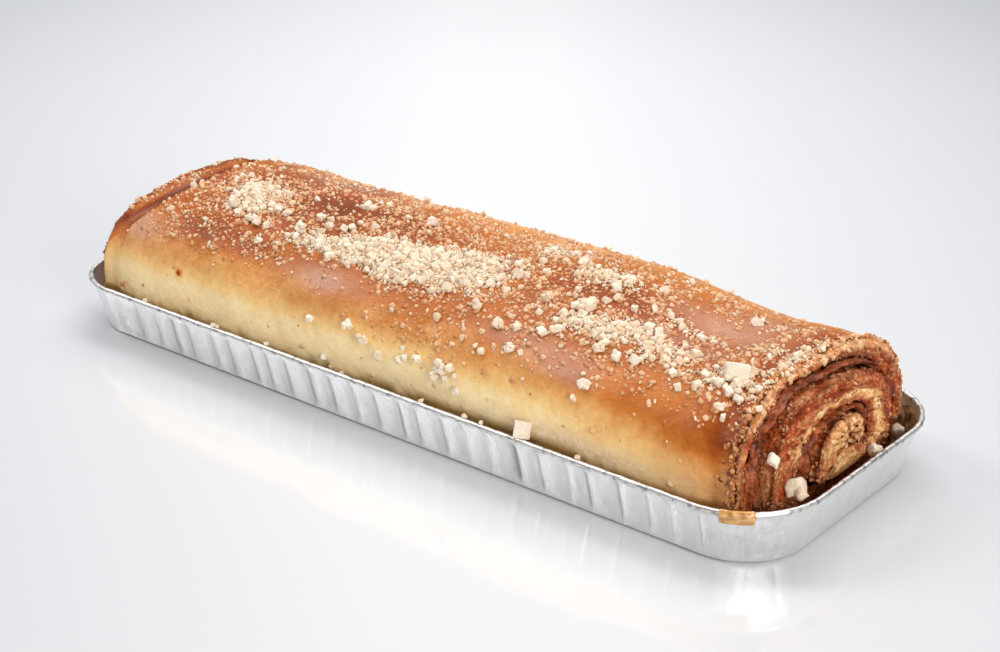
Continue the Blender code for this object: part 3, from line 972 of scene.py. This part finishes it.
def chip(draw, fineness, size, block=None):
    """A crumb about 1 in radius: a ball broken off flat on several sides, then roughened by granules.
    Size is the radius that it will have, so that its granules come out at their true size. A block
    has six square sides, at the reaches given along its own axes."""
    ball = bmesh.new()
    bmesh.ops.create_icosphere(ball, subdivisions=fineness, radius=1.3 if block else 1.15)
    turn = Euler(BLOCK_TURN if block else [draw.uniform(0, math.tau) for _ in range(3)]).to_matrix()
    axes = ((1, 0, 0), (0, 1, 0), (0, 0, 1))
    square = [turn @ (Vector(axis) * side) for axis in axes for side in (1, -1)]
    breaks = square + [any_way(draw) for _ in range(3)]
    reach = [draw.uniform(0.56, 0.95) for _ in breaks]
    if block:
        reach = [far for far in block for _ in range(2)] + [2.0] * 3
    start = Vector([draw.uniform(-50, 50) for _ in range(3)])
    lumpy = 0.05 if block else 0.20
    for vertex in ball.verts:
        point = vertex.co.copy()
        for side, limit in zip(breaks, reach):
            over = point.dot(side) - limit
            if over > 0:
                point -= side * over
        coarse = noise.noise(point * size / COARSE_GRANULES + start)
        fine = noise.noise(point * size / FINE_GRANULES + start)
        vertex.co = point * (1 + lumpy * coarse + 0.07 * fine)
    return ball


def add_chip(joined, piece, centre, radius):
    """Adds a chip to a mesh and gives the number of its points."""
    for vertex in piece.verts:
        vertex.co = centre + vertex.co * radius
    count = len(piece.verts)
    spare = mesh_from(piece, "chip")
    joined.from_mesh(spare)
    bpy.data.meshes.remove(spare)
    return count


def crumb_mesh(name, crumbs, finish, blocks):
    """Crumbs, as (centre, radius) pairs, in one mesh. Blocks gives some of them square sides, by
    number. Each of the others is a chip with smaller ones stuck to it, save the smallest."""
    draw = random.Random(SEED + 1)
    joined = bmesh.new()
    toast = []
    for number, (centre, radius) in enumerate(crumbs):
        shade = draw.uniform(0.0, 0.5)
        block = blocks.get(number)
        stuck = 0 if block or radius < SINGLE_CRUMB else draw.choice((1, 2, 2, 3))
        body = chip(draw, 3, radius, block)
        points = add_chip(joined, body, centre, radius * (0.88 if stuck else 1.0))
        toast += [0.1 if block else shade] * points
        for _ in range(stuck):
            way = any_way(draw)
            size = radius * draw.uniform(0.40, 0.65)
            place = centre + way * (radius - size * 0.55)
            shade_here = shade + draw.uniform(-0.1, 0.3)
            toast += [shade_here] * add_chip(joined, chip(draw, 2, size), place, size)
    made = place_object(name, mesh_from(joined, name))
    made.data.materials.append(finish)
    made.data.shade_smooth()
    paint(made, "toast", np.array(toast))
    return made


def build_lumps(finish):
    """The large crumbs, where the solids have them."""
    crumbs = [(centre, radius) for centre, radius, _ in streusel_places(random.Random(SEED))]
    return crumb_mesh("streusel_lumps", crumbs, finish, LARGE_BLOCKS)


def chip_kinds(fineness, size):
    """A few shapes of small crumb, for the scattering to pick from."""
    kinds = bpy.data.collections.new("chip_kinds")
    bpy.context.scene.collection.children.link(kinds)
    draw = random.Random(KINDS_SEED)
    for number in range(CHIP_KINDS):
        mesh = mesh_from(chip(draw, fineness, size), "chip_kind")
        mesh.shade_smooth()
        kinds.objects.link(bpy.data.objects.new(f"chip_kind_{number}", mesh))
    return kinds


def remove_kinds(kinds):
    for piece in list(kinds.objects):
        bpy.data.objects.remove(piece)
    bpy.data.collections.remove(kinds)


# Where small crumbs lie: along X, angle, spread in metres and degrees, share of the crust covered.
CRUMB_COVER = (
    (-0.046, 123, 0.016, 6, 0.75),
    (-0.022, 119, 0.018, 11, 0.85),
    (0.000, 118, 0.018, 14, 0.95),
    (0.018, 108, 0.016, 15, 0.75),
    (-0.086, 109, 0.011, 12, 0.85),
    (-0.098, 99, 0.014, 12, 0.40),
    (0.067, 122, 0.010, 7, 0.65),
    (0.080, 118, 0.010, 10, 0.60),
    (0.094, 122, 0.010, 9, 0.60),
    (0.056, 90, 0.022, 12, 0.40),
    (0.028, 76, 0.012, 7, 0.55),
    (0.058, 83, 0.012, 7, 0.45),
    (0.093, 98, 0.012, 8, 0.45),
    (0.118, 128, 0.013, 13, 0.60),
    (0.122, 95, 0.012, 16, 0.35),
    (0.131, 100, 0.003, 40, 0.45),
    (-0.1355, 80, 0.004, 14, 0.95),
)
# Where more or less dust lies than elsewhere on top: along X, angle, spread in metres and degrees,
# share.
DUST_COVER = (
    (-0.095, 112, 0.026, 22, 0.45),
    (-0.050, 92, 0.014, 9, -0.35),
    (0.035, 118, 0.050, 16, 0.35),
    (0.106, 84, 0.020, 16, -0.35),
    (-0.035, 142, 0.018, 8, -0.40),
    (0.118, 126, 0.014, 16, 0.35),
    (0.000, 82, 0.060, 16, 0.45),
    (0.018, 156, 0.026, 8, 0.30),
    (0.088, 56, 0.022, 10, 0.30),
)


def new_geometry_tree(name, inputs):
    """A geometry tree with inputs of (name, kind, value to start from), and the sockets they come by."""
    tree = bpy.data.node_groups.new(name, "GeometryNodeTree")
    for label, kind, start in inputs:
        made = tree.interface.new_socket(label, in_out="INPUT", socket_type="NodeSocket" + kind)
        if start is not None:
            made.default_value = start
    tree.interface.new_socket("Piece", in_out="OUTPUT", socket_type="NodeSocketGeometry")
    return tree, add_node(tree, "NodeGroupInput").outputs


def end_geometry_tree(tree, geometry, finish):
    """Makes real meshes of what the tree laid out and gives them their finish."""
    real = result_of(tree, "GeometryNodeRealizeInstances", {"Geometry": geometry})
    finished = result_of(tree, "GeometryNodeSetMaterial", {"Geometry": real, "Material": finish})
    add_node(tree, "NodeGroupOutput", {0: finished})
    return tree


def stored(tree, geometry, name, value, kind="FLOAT"):
    """Stores a value on the geometry's points, to be read again further on."""
    inputs = {"Geometry": geometry, "Name": name, "Value": value}
    return result_of(tree, "GeometryNodeStoreNamedAttribute", inputs, data_type=kind)


def recalled(tree, name, kind="FLOAT"):
    return result_of(tree, "GeometryNodeInputNamedAttribute", {"Name": name}, data_type=kind)


def scatter_tree(name, cover):
    """Crumbs strewn over a surface: one of the kinds of chip at each point, turned and squashed."""
    tree, given = new_geometry_tree(
        name,
        (
            ("Surface", "Geometry", None),
            ("Crumbs per square metre", "Float", 1000.0),
            ("Smallest radius", "Float", 0.0004),
            ("Largest radius", "Float", 0.0008),
            ("Kinds", "Collection", None),
            ("Rise", "Float", 0.4),
            ("Pile height", "Float", 0.0),
            ("Seed", "Int", 1),
            ("Finish", "Material", None),
        ),
    )

    def seed(offset):
        return maths(tree, "ADD", given["Seed"], float(offset))

    def chance(offset, low=0.0, high=1.0):
        inputs = {2: low, 3: high, "Seed": seed(offset)}
        return add_node(tree, "FunctionNodeRandomValue", inputs).outputs[1]

    def chances(offset, spans):
        """Three random values, each in its own span."""
        parts = {k: chance(offset + k, *span) for k, span in enumerate(spans)}
        return result_of(tree, "ShaderNodeCombineXYZ", parts)

    covered = recalled(tree, cover)
    crowd = times(tree, covered, given["Crumbs per square metre"])
    inputs = {"Mesh": given["Surface"], "Density": crowd, "Seed": given["Seed"]}
    strewn = add_node(tree, "GeometryNodeDistributePointsOnFaces", inputs).outputs
    span = maths(tree, "SUBTRACT", given["Largest radius"], given["Smallest radius"])
    mostly_small = maths(tree, "POWER", chance(1), 2.2)
    radius = maths(tree, "MULTIPLY_ADD", mostly_small, span, given["Smallest radius"])
    crumbs = stored(tree, strewn["Points"], "crumb_radius", radius)
    crumbs = stored(tree, crumbs, "toast", chance(2))
    size = recalled(tree, "crumb_radius")
    pile = times(tree, chance(3), given["Pile height"], covered)
    lift = maths(tree, "MULTIPLY_ADD", size, given["Rise"], pile)
    offset = scaled(tree, strewn["Normal"], lift)
    crumbs = result_of(tree, "GeometryNodeSetPosition", {"Geometry": crumbs, "Offset": offset})
    squash = chances(4, ((0.8, 1.25), (0.8, 1.25), (0.65, 1.0)))
    tumble = chances(7, ((0.0, 6.28), (0.0, 6.28), (0.0, 6.28)))
    inputs = {"Collection": given["Kinds"], "Separate Children": True, "Reset Children": True}
    kinds = result_of(tree, "GeometryNodeCollectionInfo", inputs)
    inputs = {4: 0, 5: CHIP_KINDS - 1, "Seed": seed(10)}
    which = add_node(tree, "FunctionNodeRandomValue", inputs, data_type="INT").outputs[2]
    inputs = {
        "Points": crumbs,
        "Instance": kinds,
        "Pick Instance": True,
        "Instance Index": which,
        "Rotation": tumble,
        "Scale": scaled(tree, squash, size),
    }
    laid = result_of(tree, "GeometryNodeInstanceOnPoints", inputs)
    return end_geometry_tree(tree, laid, given["Finish"])


def run_tree(name, tree, surface, values):
    """Runs a geometry tree on a copy of the surface and keeps the result as a plain mesh."""
    base = surface.copy() if surface else bpy.data.objects.new(name, bpy.data.meshes.new(name))
    base.name = name
    bpy.context.scene.collection.objects.link(base)
    modifier = base.modifiers.new(tree.name, "NODES")
    modifier.node_group = tree
    for item in tree.interface.items_tree:
        if item.in_out == "INPUT" and item.name in values:
            modifier[item.identifier] = values[item.name]
    graph = bpy.context.evaluated_depsgraph_get()
    mesh = bpy.data.meshes.new_from_object(base.evaluated_get(graph))
    bpy.data.objects.remove(base)
    mesh.name = name
    return place_object(name, mesh)


def paint_cover(dough):
    """Paints how thickly crumbs and dust lie on the crust."""
    points = points_of(dough)
    crust = painted_values(dough, "torn") < 0.5
    y, z = points[:, 1], points[:, 2] - ROLL_AXIS_HEIGHT
    angle = np.degrees(np.arctan2(z / (CROWN_HEIGHT - ROLL_AXIS_HEIGHT), y / LOAF_HALF_WIDTH)) % 360
    patches = spots(CRUMB_COVER, points[:, 0], angle)
    uneven = 0.5 + 0.5 * relief(points, 0.008, 3, 20.0)
    broken = 0.5 + 0.5 * relief(points, 0.0038, 2, 41.0)
    on_top = smooth_step((60 - np.abs(angle - CROWN_ANGLE)) / 28)
    bare = 1 - smooth_step(painted_values(dough, "creased") * 1.6)
    # Heaps break up raggedly at their edges, and single crumbs lie all over the top.
    heaped = smooth_step((patches * (0.15 + 0.9 * uneven + 0.75 * broken) - 0.17) / 0.74)
    heaped = np.maximum(heaped, 0.022 * on_top) * bare
    paint(dough, "crumb_cover", np.where(crust, heaped, 0.0))
    dusted = on_top * (0.10 + 1.5 * smooth_step((uneven - 0.40) / 0.4) * broken) + 0.4 * patches
    dusted += spots(DUST_COVER, points[:, 0], angle)
    dusted = np.clip(dusted, 0.008, 1.0) * bare
    dusted = np.where(crust & (z > -0.005), dusted, 0.6 * painted_values(dough, "lip_top"))
    paint(dough, "dust_cover", dusted)


def strew(dough, all_kinds, finish, row):
    """Strews one kind of crumb over the dough, as its row of the table says."""
    name, cover, kinds, *numbers = row
    values = dict(zip(STREWN_INPUTS, numbers), Kinds=all_kinds[kinds], Finish=finish)
    return run_tree(name, scatter_tree(name.replace("_", " "), cover), dough, values)


# ---------------------------------------------------------------- the foil tray
# The section of the base near its edge, with a low step in it: how far out, and up.
BASE_STEP = ((-0.012, 0.0), (-0.009, 0.0), (-0.0078, 0.0003), (-0.0066, 0.0))
HEEL_BEND = HEEL * 1.6
HEEL_TURN = 1.4  # radians
WALL_ROWS = 12
BEAD_UP = TRAY_HEIGHT - BEAD_RADIUS  # height of the bead's middle
BEAD_OUT = WALL_FLARE - BEAD_RADIUS
WALL_TOP = BEAD_UP - 1.4 * BEAD_RADIUS
WALL_TOP_OUT = BEAD_OUT - 0.4 * BEAD_RADIUS
STEP_ROUND_TRAY = 0.00065
CORNER_POINTS = 24
BEAD_ARC = range(-100, 181, 28)  # degrees up from straight out
# Sizes of the patterns that make the flutes, the wall and the bead uneven.
FLUTE_SWAY_SIZE = 1 / 60
FLUTE_PATCH_SIZE = 1 / 90
CRUMPLE_SIZE = 1 / 140
DENT_SIZE = 1 / 380
CRUMPLE_DEPTH = 0.0003


def tray_section():
    """The foil's section as a curve: X is how far out from the base's outline, Y the height."""
    line = list(BASE_STEP)
    for turn in np.linspace(0, HEEL_TURN, 5):
        line.append((-HEEL_BEND + HEEL_BEND * math.sin(turn), HEEL_BEND * (1 - math.cos(turn))))
    foot_out, foot_up = line[-1]
    for row in range(1, WALL_ROWS + 1):
        out = foot_out + (WALL_TOP_OUT - foot_out) * row / WALL_ROWS
        line.append((out, foot_up + (WALL_TOP - foot_up) * row / WALL_ROWS))
    inside = [(out - FOIL, up if up > 0.0012 else up + FOIL) for out, up in reversed(line)]
    for bearing in BEAD_ARC:
        out, up = math.cos(math.radians(bearing)), math.sin(math.radians(bearing))
        line.append((BEAD_OUT + BEAD_RADIUS * out, BEAD_UP + BEAD_RADIUS * up))
    line += inside
    curve = bpy.data.curves.new("tray_section", "CURVE")
    curve.dimensions = "3D"
    spline = curve.splines.new("POLY")
    spline.points.add(len(line) - 1)
    for point, (out, up) in zip(spline.points, line):
        point.co = (out, up, 0, 1)
    return place_object("tray_section", curve)


def tray_tree():
    """Sweeps the section round the base's outline, then presses the flutes and crumples into the wall."""
    tree, given = new_geometry_tree(
        "pressed foil tray",
        (
            ("Empty", "Geometry", None),
            ("Section", "Object", None),
            ("Base length", "Float", 0.3),
            ("Base width", "Float", 0.1),
            ("Corner radius", "Float", 0.02),
            ("Step round the tray", "Float", 0.001),
            ("Flute pitch", "Float", 0.01),
            ("Flute depth", "Float", 0.001),
            ("Wall height", "Float", 0.02),
            ("Crumple depth", "Float", 0.0003),
            ("Finish", "Material", None),
        ),
    )
    here = result_of(tree, "GeometryNodeInputPosition")
    tangent = result_of(tree, "GeometryNodeInputTangent")
    length = add_node(tree, "GeometryNodeSplineParameter").outputs["Length"]
    inputs = {"Width": given["Base length"], "Height": given["Base width"]}
    path = result_of(tree, "GeometryNodeCurvePrimitiveQuadrilateral", inputs)
    inputs = {"Curve": path, "Count": CORNER_POINTS, "Radius": given["Corner radius"]}
    path = result_of(tree, "GeometryNodeFilletCurve", inputs, mode="POLY")
    inputs = {"Curve": path, "Length": given["Step round the tray"]}
    path = result_of(tree, "GeometryNodeResampleCurve", inputs, mode="LENGTH")
    path = stored(tree, path, "base_point", here, "FLOAT_VECTOR")
    path = stored(tree, path, "base_tangent", tangent, "FLOAT_VECTOR")
    path = stored(tree, path, "base_length", length)
    section = add_node(tree, "GeometryNodeObjectInfo", {"Object": given["Section"]}).outputs["Geometry"]
    section = stored(tree, section, "section_point", here, "FLOAT_VECTOR")
    swept = result_of(tree, "GeometryNodeCurveToMesh", {"Curve": path, "Profile Curve": section})

    at_foot = recalled(tree, "base_point", "FLOAT_VECTOR")
    forwards = recalled(tree, "base_tangent", "FLOAT_VECTOR")
    section_point = recalled(tree, "section_point", "FLOAT_VECTOR")
    out, up, _ = add_node(tree, "ShaderNodeSeparateXYZ", {0: section_point}).outputs
    outward = vector_maths(tree, "NORMALIZE", vector_maths(tree, "CROSS_PRODUCT", forwards, (0, 0, 1)))
    raise_up = result_of(tree, "ShaderNodeCombineXYZ", {2: up})
    stood = vector_maths(tree, "ADD", scaled(tree, outward, out), raise_up)
    stood = vector_maths(tree, "ADD", at_foot, stood)
    wall = result_of(tree, "GeometryNodeSetPosition", {"Geometry": swept, "Position": stood})
    share_up = maths(tree, "DIVIDE", up, given["Wall height"])

    # Flutes: creases inwards with round ribs between them, uneven, fading out at heel and bead.
    around = maths(tree, "DIVIDE", recalled(tree, "base_length"), given["Flute pitch"])
    around = maths(tree, "MULTIPLY_ADD", clouds(tree, at_foot, FLUTE_SWAY_SIZE, 1.0), 1.2, around)
    rib = maths(tree, "ABSOLUTE", maths(tree, "SINE", times(tree, around, math.pi)))
    valley = maths(tree, "SUBTRACT", 1.0, rib)
    sharp = maths(tree, "POWER", valley, 5.0)
    crease = maths(tree, "MULTIPLY_ADD", sharp, 0.5, times(tree, valley, 0.5))
    from_middle = maths(tree, "ABSOLUTE", result_of(tree, "ShaderNodeSeparateXYZ", {0: here}))
    at_sides = fitted(tree, from_middle, 0.100, 0.140, 1.0, 0.30)
    uneven = fitted(tree, clouds(tree, at_foot, FLUTE_PATCH_SIZE, 1.0), 0.3, 0.7, 0.55, 1.15)
    over_heel = fitted(tree, share_up, 0.03, 0.16)
    under_bead = fitted(tree, share_up, 0.76, 0.90, 1.0, 0.0)
    depth = times(tree, given["Flute depth"], at_sides, uneven, over_heel, under_bead)
    flute = times(tree, crease, times(tree, depth, -1.0))

    # Crumples in the wall, and dents in the bead.
    crumple = maths(tree, "SUBTRACT", clouds(tree, here, CRUMPLE_SIZE, 3.0), 0.5)
    crumple = times(tree, crumple, given["Crumple depth"], fitted(tree, share_up, 0.02, 0.12))
    dents = clouds(tree, here, DENT_SIZE, 2.0)
    dent_shade = times(tree, fitted(tree, dents, 0.46, 0.62), fitted(tree, share_up, 0.84, 0.90))
    dents = times(tree, maths(tree, "SUBTRACT", dents, 0.5), given["Crumple depth"])
    dents = times(tree, dents, fitted(tree, share_up, 0.80, 0.88, 0.0, 2.2))

    # Painted shade for the foil's finish: the flute creases and the dents in the bead are stored to be
    # darkened.
    shown = times(tree, crease, maths(tree, "DIVIDE", depth, given["Flute depth"]))
    wall = stored(tree, wall, "crease", maths(tree, "MAXIMUM", shown, dent_shade))
    press = maths(tree, "ADD", maths(tree, "ADD", flute, crumple), dents)
    inputs = {"Geometry": wall, "Offset": scaled(tree, outward, press)}
    pressed = result_of(tree, "GeometryNodeSetPosition", inputs)
    smooth = result_of(tree, "GeometryNodeSetShadeSmooth", {"Geometry": pressed})
    return end_geometry_tree(tree, smooth, given["Finish"])


def build_tray(finish):
    section = tray_section()
    values = {
        "Section": section,
        "Base length": TRAY_LENGTH - 2 * WALL_FLARE,
        "Base width": TRAY_WIDTH - 2 * WALL_FLARE,
        "Corner radius": BASE_CORNER,
        "Step round the tray": STEP_ROUND_TRAY,
        "Flute pitch": FLUTE_PITCH,
        "Flute depth": FLUTE_DEPTH,
        "Wall height": TRAY_HEIGHT,
        "Crumple depth": CRUMPLE_DEPTH,
        "Finish": finish,
    }
    made = run_tree("pressed_foil_tray", tray_tree(), None, values)
    bpy.data.objects.remove(section)
    skin = bmesh.new()
    skin.from_mesh(made.data)
    bmesh.ops.remove_doubles(skin, verts=skin.verts[:], dist=1e-6)
    bmesh.ops.holes_fill(skin, edges=[edge for edge in skin.edges if edge.is_boundary])
    bmesh.ops.recalc_face_normals(skin, faces=skin.faces[:])
    skin.to_mesh(made.data)
    skin.free()
    face_outwards(made)
    return made


# ---------------------------------------------------------------- what has run over and spilt
FOIL_SEARCH_FROM = 0.004  # off the foil, where a coating looks for it
FOIL_SEARCH = 0.007
COATING_SINK = 0.0002  # how deep a coating's underside lies in the foil
FADE_AT_ENDS = 8  # a coating is full from an eighth of its length on
FADE_AT_SIDES = 4  # and from a quarter of its section on
COATING_WAVES = 0.004
EGG_WASH_SPAN = (0.0462, 0.0556)  # round the outline, from the near end's middle
EGG_WASH_ARC = range(150, -46, -15)  # over the bead, from inside to outside
EGG_WASH_THICKNESS = 0.0005
SUGAR_SPAN = (-0.0760, 0.0600)
SUGAR_THICKNESS = 0.0009


def outline_place(distance):
    """A point of the base's outline and its outward direction, so far from the near end's middle
    round towards the front, or towards the back where the distance is negative."""
    side = -1 if distance >= 0 else 1
    distance = abs(distance)
    half_x = TRAY_LENGTH / 2 - WALL_FLARE - BASE_CORNER
    half_y = TRAY_WIDTH / 2 - WALL_FLARE - BASE_CORNER
    arc = BASE_CORNER * math.pi / 2
    turned = min(max((distance - half_y) / arc, 0.0), 1.0) * math.pi / 2
    outward = Vector((math.cos(turned), side * math.sin(turned), 0))
    point = Vector((half_x, side * half_y, 0)) + outward * BASE_CORNER
    if distance < half_y:
        point.y = side * distance
    point.x -= max(0.0, distance - half_y - arc)
    return point, outward


def wall_out(height):
    """How far the wall's outside stands out past the base's outline."""
    return WALL_TOP_OUT * min(height / WALL_TOP, 1.0)


def skin_of(made):
    """A mesh's surface, to find where a line meets it."""
    mesh = made.data
    return BVHTree.FromPolygons([v.co for v in mesh.vertices], [p.vertices for p in mesh.polygons])


def coating(name, foil, span, section, thickness, finish, seed, steps):
    """A thin layer on the foil along part of the outline. Section is a list of rows: how far out and
    up each is, and the way that the foil faces there. It thins away, raggedly, at every edge."""
    start, end = span
    points, faces = [], []
    last = len(section) - 1
    for step in range(steps + 1):
        share = step / steps
        foot, outward = outline_place(start + (end - start) * share)
        for row, (out, up, face_out, face_up) in enumerate(section):
            place = foot + outward * out + Vector((0, 0, up))
            facing = (outward * face_out + Vector((0, 0, face_up))).normalized()
            met = foil.ray_cast(place + facing * FOIL_SEARCH_FROM, -facing, FOIL_SEARCH)[0]
            place = met or place
            from_ends = min(share, 1 - share) * FADE_AT_ENDS
            from_sides = min(row, last - row) * FADE_AT_SIDES / last
            from_edge = min(from_ends, from_sides)
            wander = noise.noise(Vector((share * (end - start) / COATING_WAVES, row * 0.45, seed)))
            full = smooth_step(from_edge + 0.9 * wander * min(from_edge, 1.0))
            top = place + facing * (thickness * full - COATING_SINK / 2)
            points += [top, place - facing * COATING_SINK]
    width = 2 * (last + 1)
    for step in range(steps):
        for row in range(last):
            a = step * width + 2 * row
            b = a + width
            faces += [(a, b, b + 2, a + 2), (a + 1, a + 3, b + 3, b + 1)]
        a, b = step * width, (step + 1) * width
        faces.append((a, a + 1, b + 1, b))
        a, b = a + 2 * last, b + 2 * last
        faces.append((a, b, b + 1, a + 1))
    for row in range(last):
        a, b = 2 * row, steps * width + 2 * row
        faces += [(a, a + 2, a + 3, a + 1), (b, b + 1, b + 3, b + 2)]
    return mesh_object(name, points, faces, finish)


def build_glaze_run(foil, finish):
    """Egg wash that ran over the bead at the near front corner."""
    section = []
    for bearing in EGG_WASH_ARC:
        out, up = math.cos(math.radians(bearing)), math.sin(math.radians(bearing))
        section.append((BEAD_OUT + BEAD_RADIUS * out, BEAD_UP + BEAD_RADIUS * up, out, up))
    section += [(wall_out(up), up, 1.0, 0.1) for up in np.linspace(0.0166, 0.0140, 6)]
    return coating(
        "baked_egg_wash", foil, EGG_WASH_SPAN, section, EGG_WASH_THICKNESS, finish, seed=3.3, steps=40
    )


def build_residue(foil, finish):
    """Browned butter and sugar on the inside of the near end's wall and on the base beside it."""
    wall = [(wall_out(up) - FOIL, up, -1.0, 0.15) for up in np.linspace(0.0172, 0.0022, 14)]
    base = [(out, FOIL, 0.0, 1.0) for out in np.linspace(-0.0020, -0.0120, 8)]
    return coating(
        "browned_sugar", foil, SUGAR_SPAN, wall + base, SUGAR_THICKNESS, finish, seed=8.1, steps=170
    )


# Crumbs that cling to the front of the loaf: along X, angle, radius.
CLINGING_CRUMBS = (
    (-0.0037, 169, 0.0023),
    (0.0037, 175, 0.0021),
    (-0.0217, 181, 0.0012),
    (0.0200, 169, 0.0020),
    (0.0142, 171, 0.0014),
    (0.0328, 168, 0.0017),
    (0.0272, 176, 0.0020),
    (0.0315, 175, 0.0018),
    (0.0355, 172, 0.0011),
    (0.0127, 166, 0.0008),
    (-0.0187, 183, 0.0008),
    (0.0360, 180, 0.0014),
    (0.0801, 161, 0.0012),
    (0.0561, 146, 0.0011),
)
# Crumbs that have fallen between the loaf and the rim, or on it: place and radius.
FALLEN_CRUMBS = (
    (0.0635, -0.0512, 0.0212, 0.0032),
    (0.1440, -0.0386, 0.0320, 0.0020),
    (-0.0720, -0.0536, 0.0198, 0.0011),
    (-0.0705, -0.0533, 0.0196, 0.0008),
    (-0.0460, -0.0532, 0.0199, 0.0010),
    (0.0240, -0.0534, 0.0198, 0.0010),
    (0.0420, -0.0531, 0.0197, 0.0011),
    (0.0490, -0.0535, 0.0199, 0.0008),
    (0.0850, -0.0519, 0.0185, 0.0012),
    (-0.0120, -0.0524, 0.0184, 0.0010),
    (-0.1080, -0.0533, 0.0196, 0.0009),
    (0.1480, -0.0300, 0.0186, 0.0012),
)


def build_fallen_crumbs(finish):
    crumbs = [(Vector(place), radius) for *place, radius in FALLEN_CRUMBS]
    for along, angle, radius in CLINGING_CRUMBS:
        spot, outward = crust_spot(angle, along)
        crumbs.append((spot + outward * radius * CRUMB_RISE, radius))
    return crumb_mesh("fallen_crumbs", crumbs, finish, FALLEN_BLOCKS)


# ---------------------------------------------------------------- stage
FLOOR_HALF = 3.0
FLOOR_GAP = 0.0002  # under the tray, so that the two don't flicker


def add_camera():
    data = bpy.data.cameras.new("photo_camera")
    data.sensor_width = SENSOR_WIDTH
    data.lens = LENS
    data.clip_start = 0.01
    data.clip_end = 20.0
    made = place_object("photo_camera", data)
    made.location = EYE
    made.rotation_euler = (math.radians(90 - LOOKING_DOWN), 0, math.radians(BEARING))
    bpy.context.scene.camera = made


def add_floor():
    flat = bmesh.new()
    bmesh.ops.create_grid(flat, x_segments=8, y_segments=8, size=FLOOR_HALF)
    made = place_object("studio_floor", mesh_from(flat, "studio_floor"))
    made.location.z = -FLOOR_GAP
    made.data.materials.append(floor_finish())


def add_softbox(name, place, target, size, power, colour=(1, 1, 1)):
    data = bpy.data.lights.new(name, "AREA")
    data.shape = "RECTANGLE"
    data.size, data.size_y = size
    data.energy = power
    data.color = colour
    made = place_object(name, data)
    made.location = place
    made.rotation_euler = (Vector(target) - Vector(place)).to_track_quat("-Z", "Y").to_euler()


def add_studio():
    world = bpy.data.worlds.new("studio")
    bpy.context.scene.world = world
    world.use_nodes = True
    sky = world.node_tree.nodes["Background"]
    sky.inputs["Color"].default_value = (0.93, 0.95, 1.0, 1)
    sky.inputs["Strength"].default_value = 0.31
    middle = (0, 0, 0.03)
    add_softbox("overhead", (-0.15, 0.40, 0.95), middle, (1.2, 0.7), 12.5)
    add_softbox("upper_left", (-0.85, -0.30, 0.95), middle, (0.5, 0.5), 7.0)
    add_softbox("near_end", (1.0, -0.35, 0.45), (0.1, 0, 0.03), (0.5, 0.5), 7.0, (1.0, 0.98, 0.95))
    add_softbox("near_corner", (0.80, -0.80, 0.16), (0.15, -0.03, 0.01), (0.5, 0.25), 2.8)
    bpy.context.scene.view_settings.view_transform = "Standard"


def main():
    add_camera()
    add_floor()
    add_studio()
    dough = build_dough(baked_dough_finish())
    filling = build_filling(cinnamon_finish())
    streusel = streusel_finish("streusel", tone(239, 225, 204), tone(224, 193, 156))
    fine_streusel = streusel_finish("fine_streusel", tone(232, 192, 148), tone(200, 134, 88))
    cinnamon_sugar = streusel_finish("cinnamon_sugar", tone(218, 156, 102), tone(122, 56, 26))
    lumps = build_lumps(streusel)
    paint_cover(dough)
    all_kinds = {
        "chips": chip_kinds(fineness=2, size=0.0011),
        "grit": chip_kinds(fineness=1, size=0.0008),
    }
    finishes = (streusel, streusel, fine_streusel, cinnamon_sugar)
    strewn = [strew(dough, all_kinds, finish, row) for finish, row in zip(finishes, STREWN)]
    crumbs, grit, dust, spilt = strewn
    for kinds in all_kinds.values():
        remove_kinds(kinds)
    tray = build_tray(foil_finish())
    foil = skin_of(tray)
    glaze = build_glaze_run(foil, glaze_finish())
    residue = build_residue(foil, residue_finish())
    fallen = build_fallen_crumbs(streusel)
    for piece, node, slot in (
        (dough, "dough_roll", "baked_dough"),
        (filling, "cinnamon_filling", "cinnamon_filling"),
        (lumps, "dough_roll", "baked_dough"),
        (crumbs, None, "baked_dough"),
        (grit, None, "baked_dough"),
        (dust, None, "baked_dough"),
        (spilt, None, "cinnamon_filling"),
        (tray, "foil_tray", "foil"),
        (glaze, None, "baked_dough"),
        (residue, None, "cinnamon_filling"),
        (fallen, None, "baked_dough"),
    ):
        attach(piece, BODY)
        if node:
            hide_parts(node)


main()
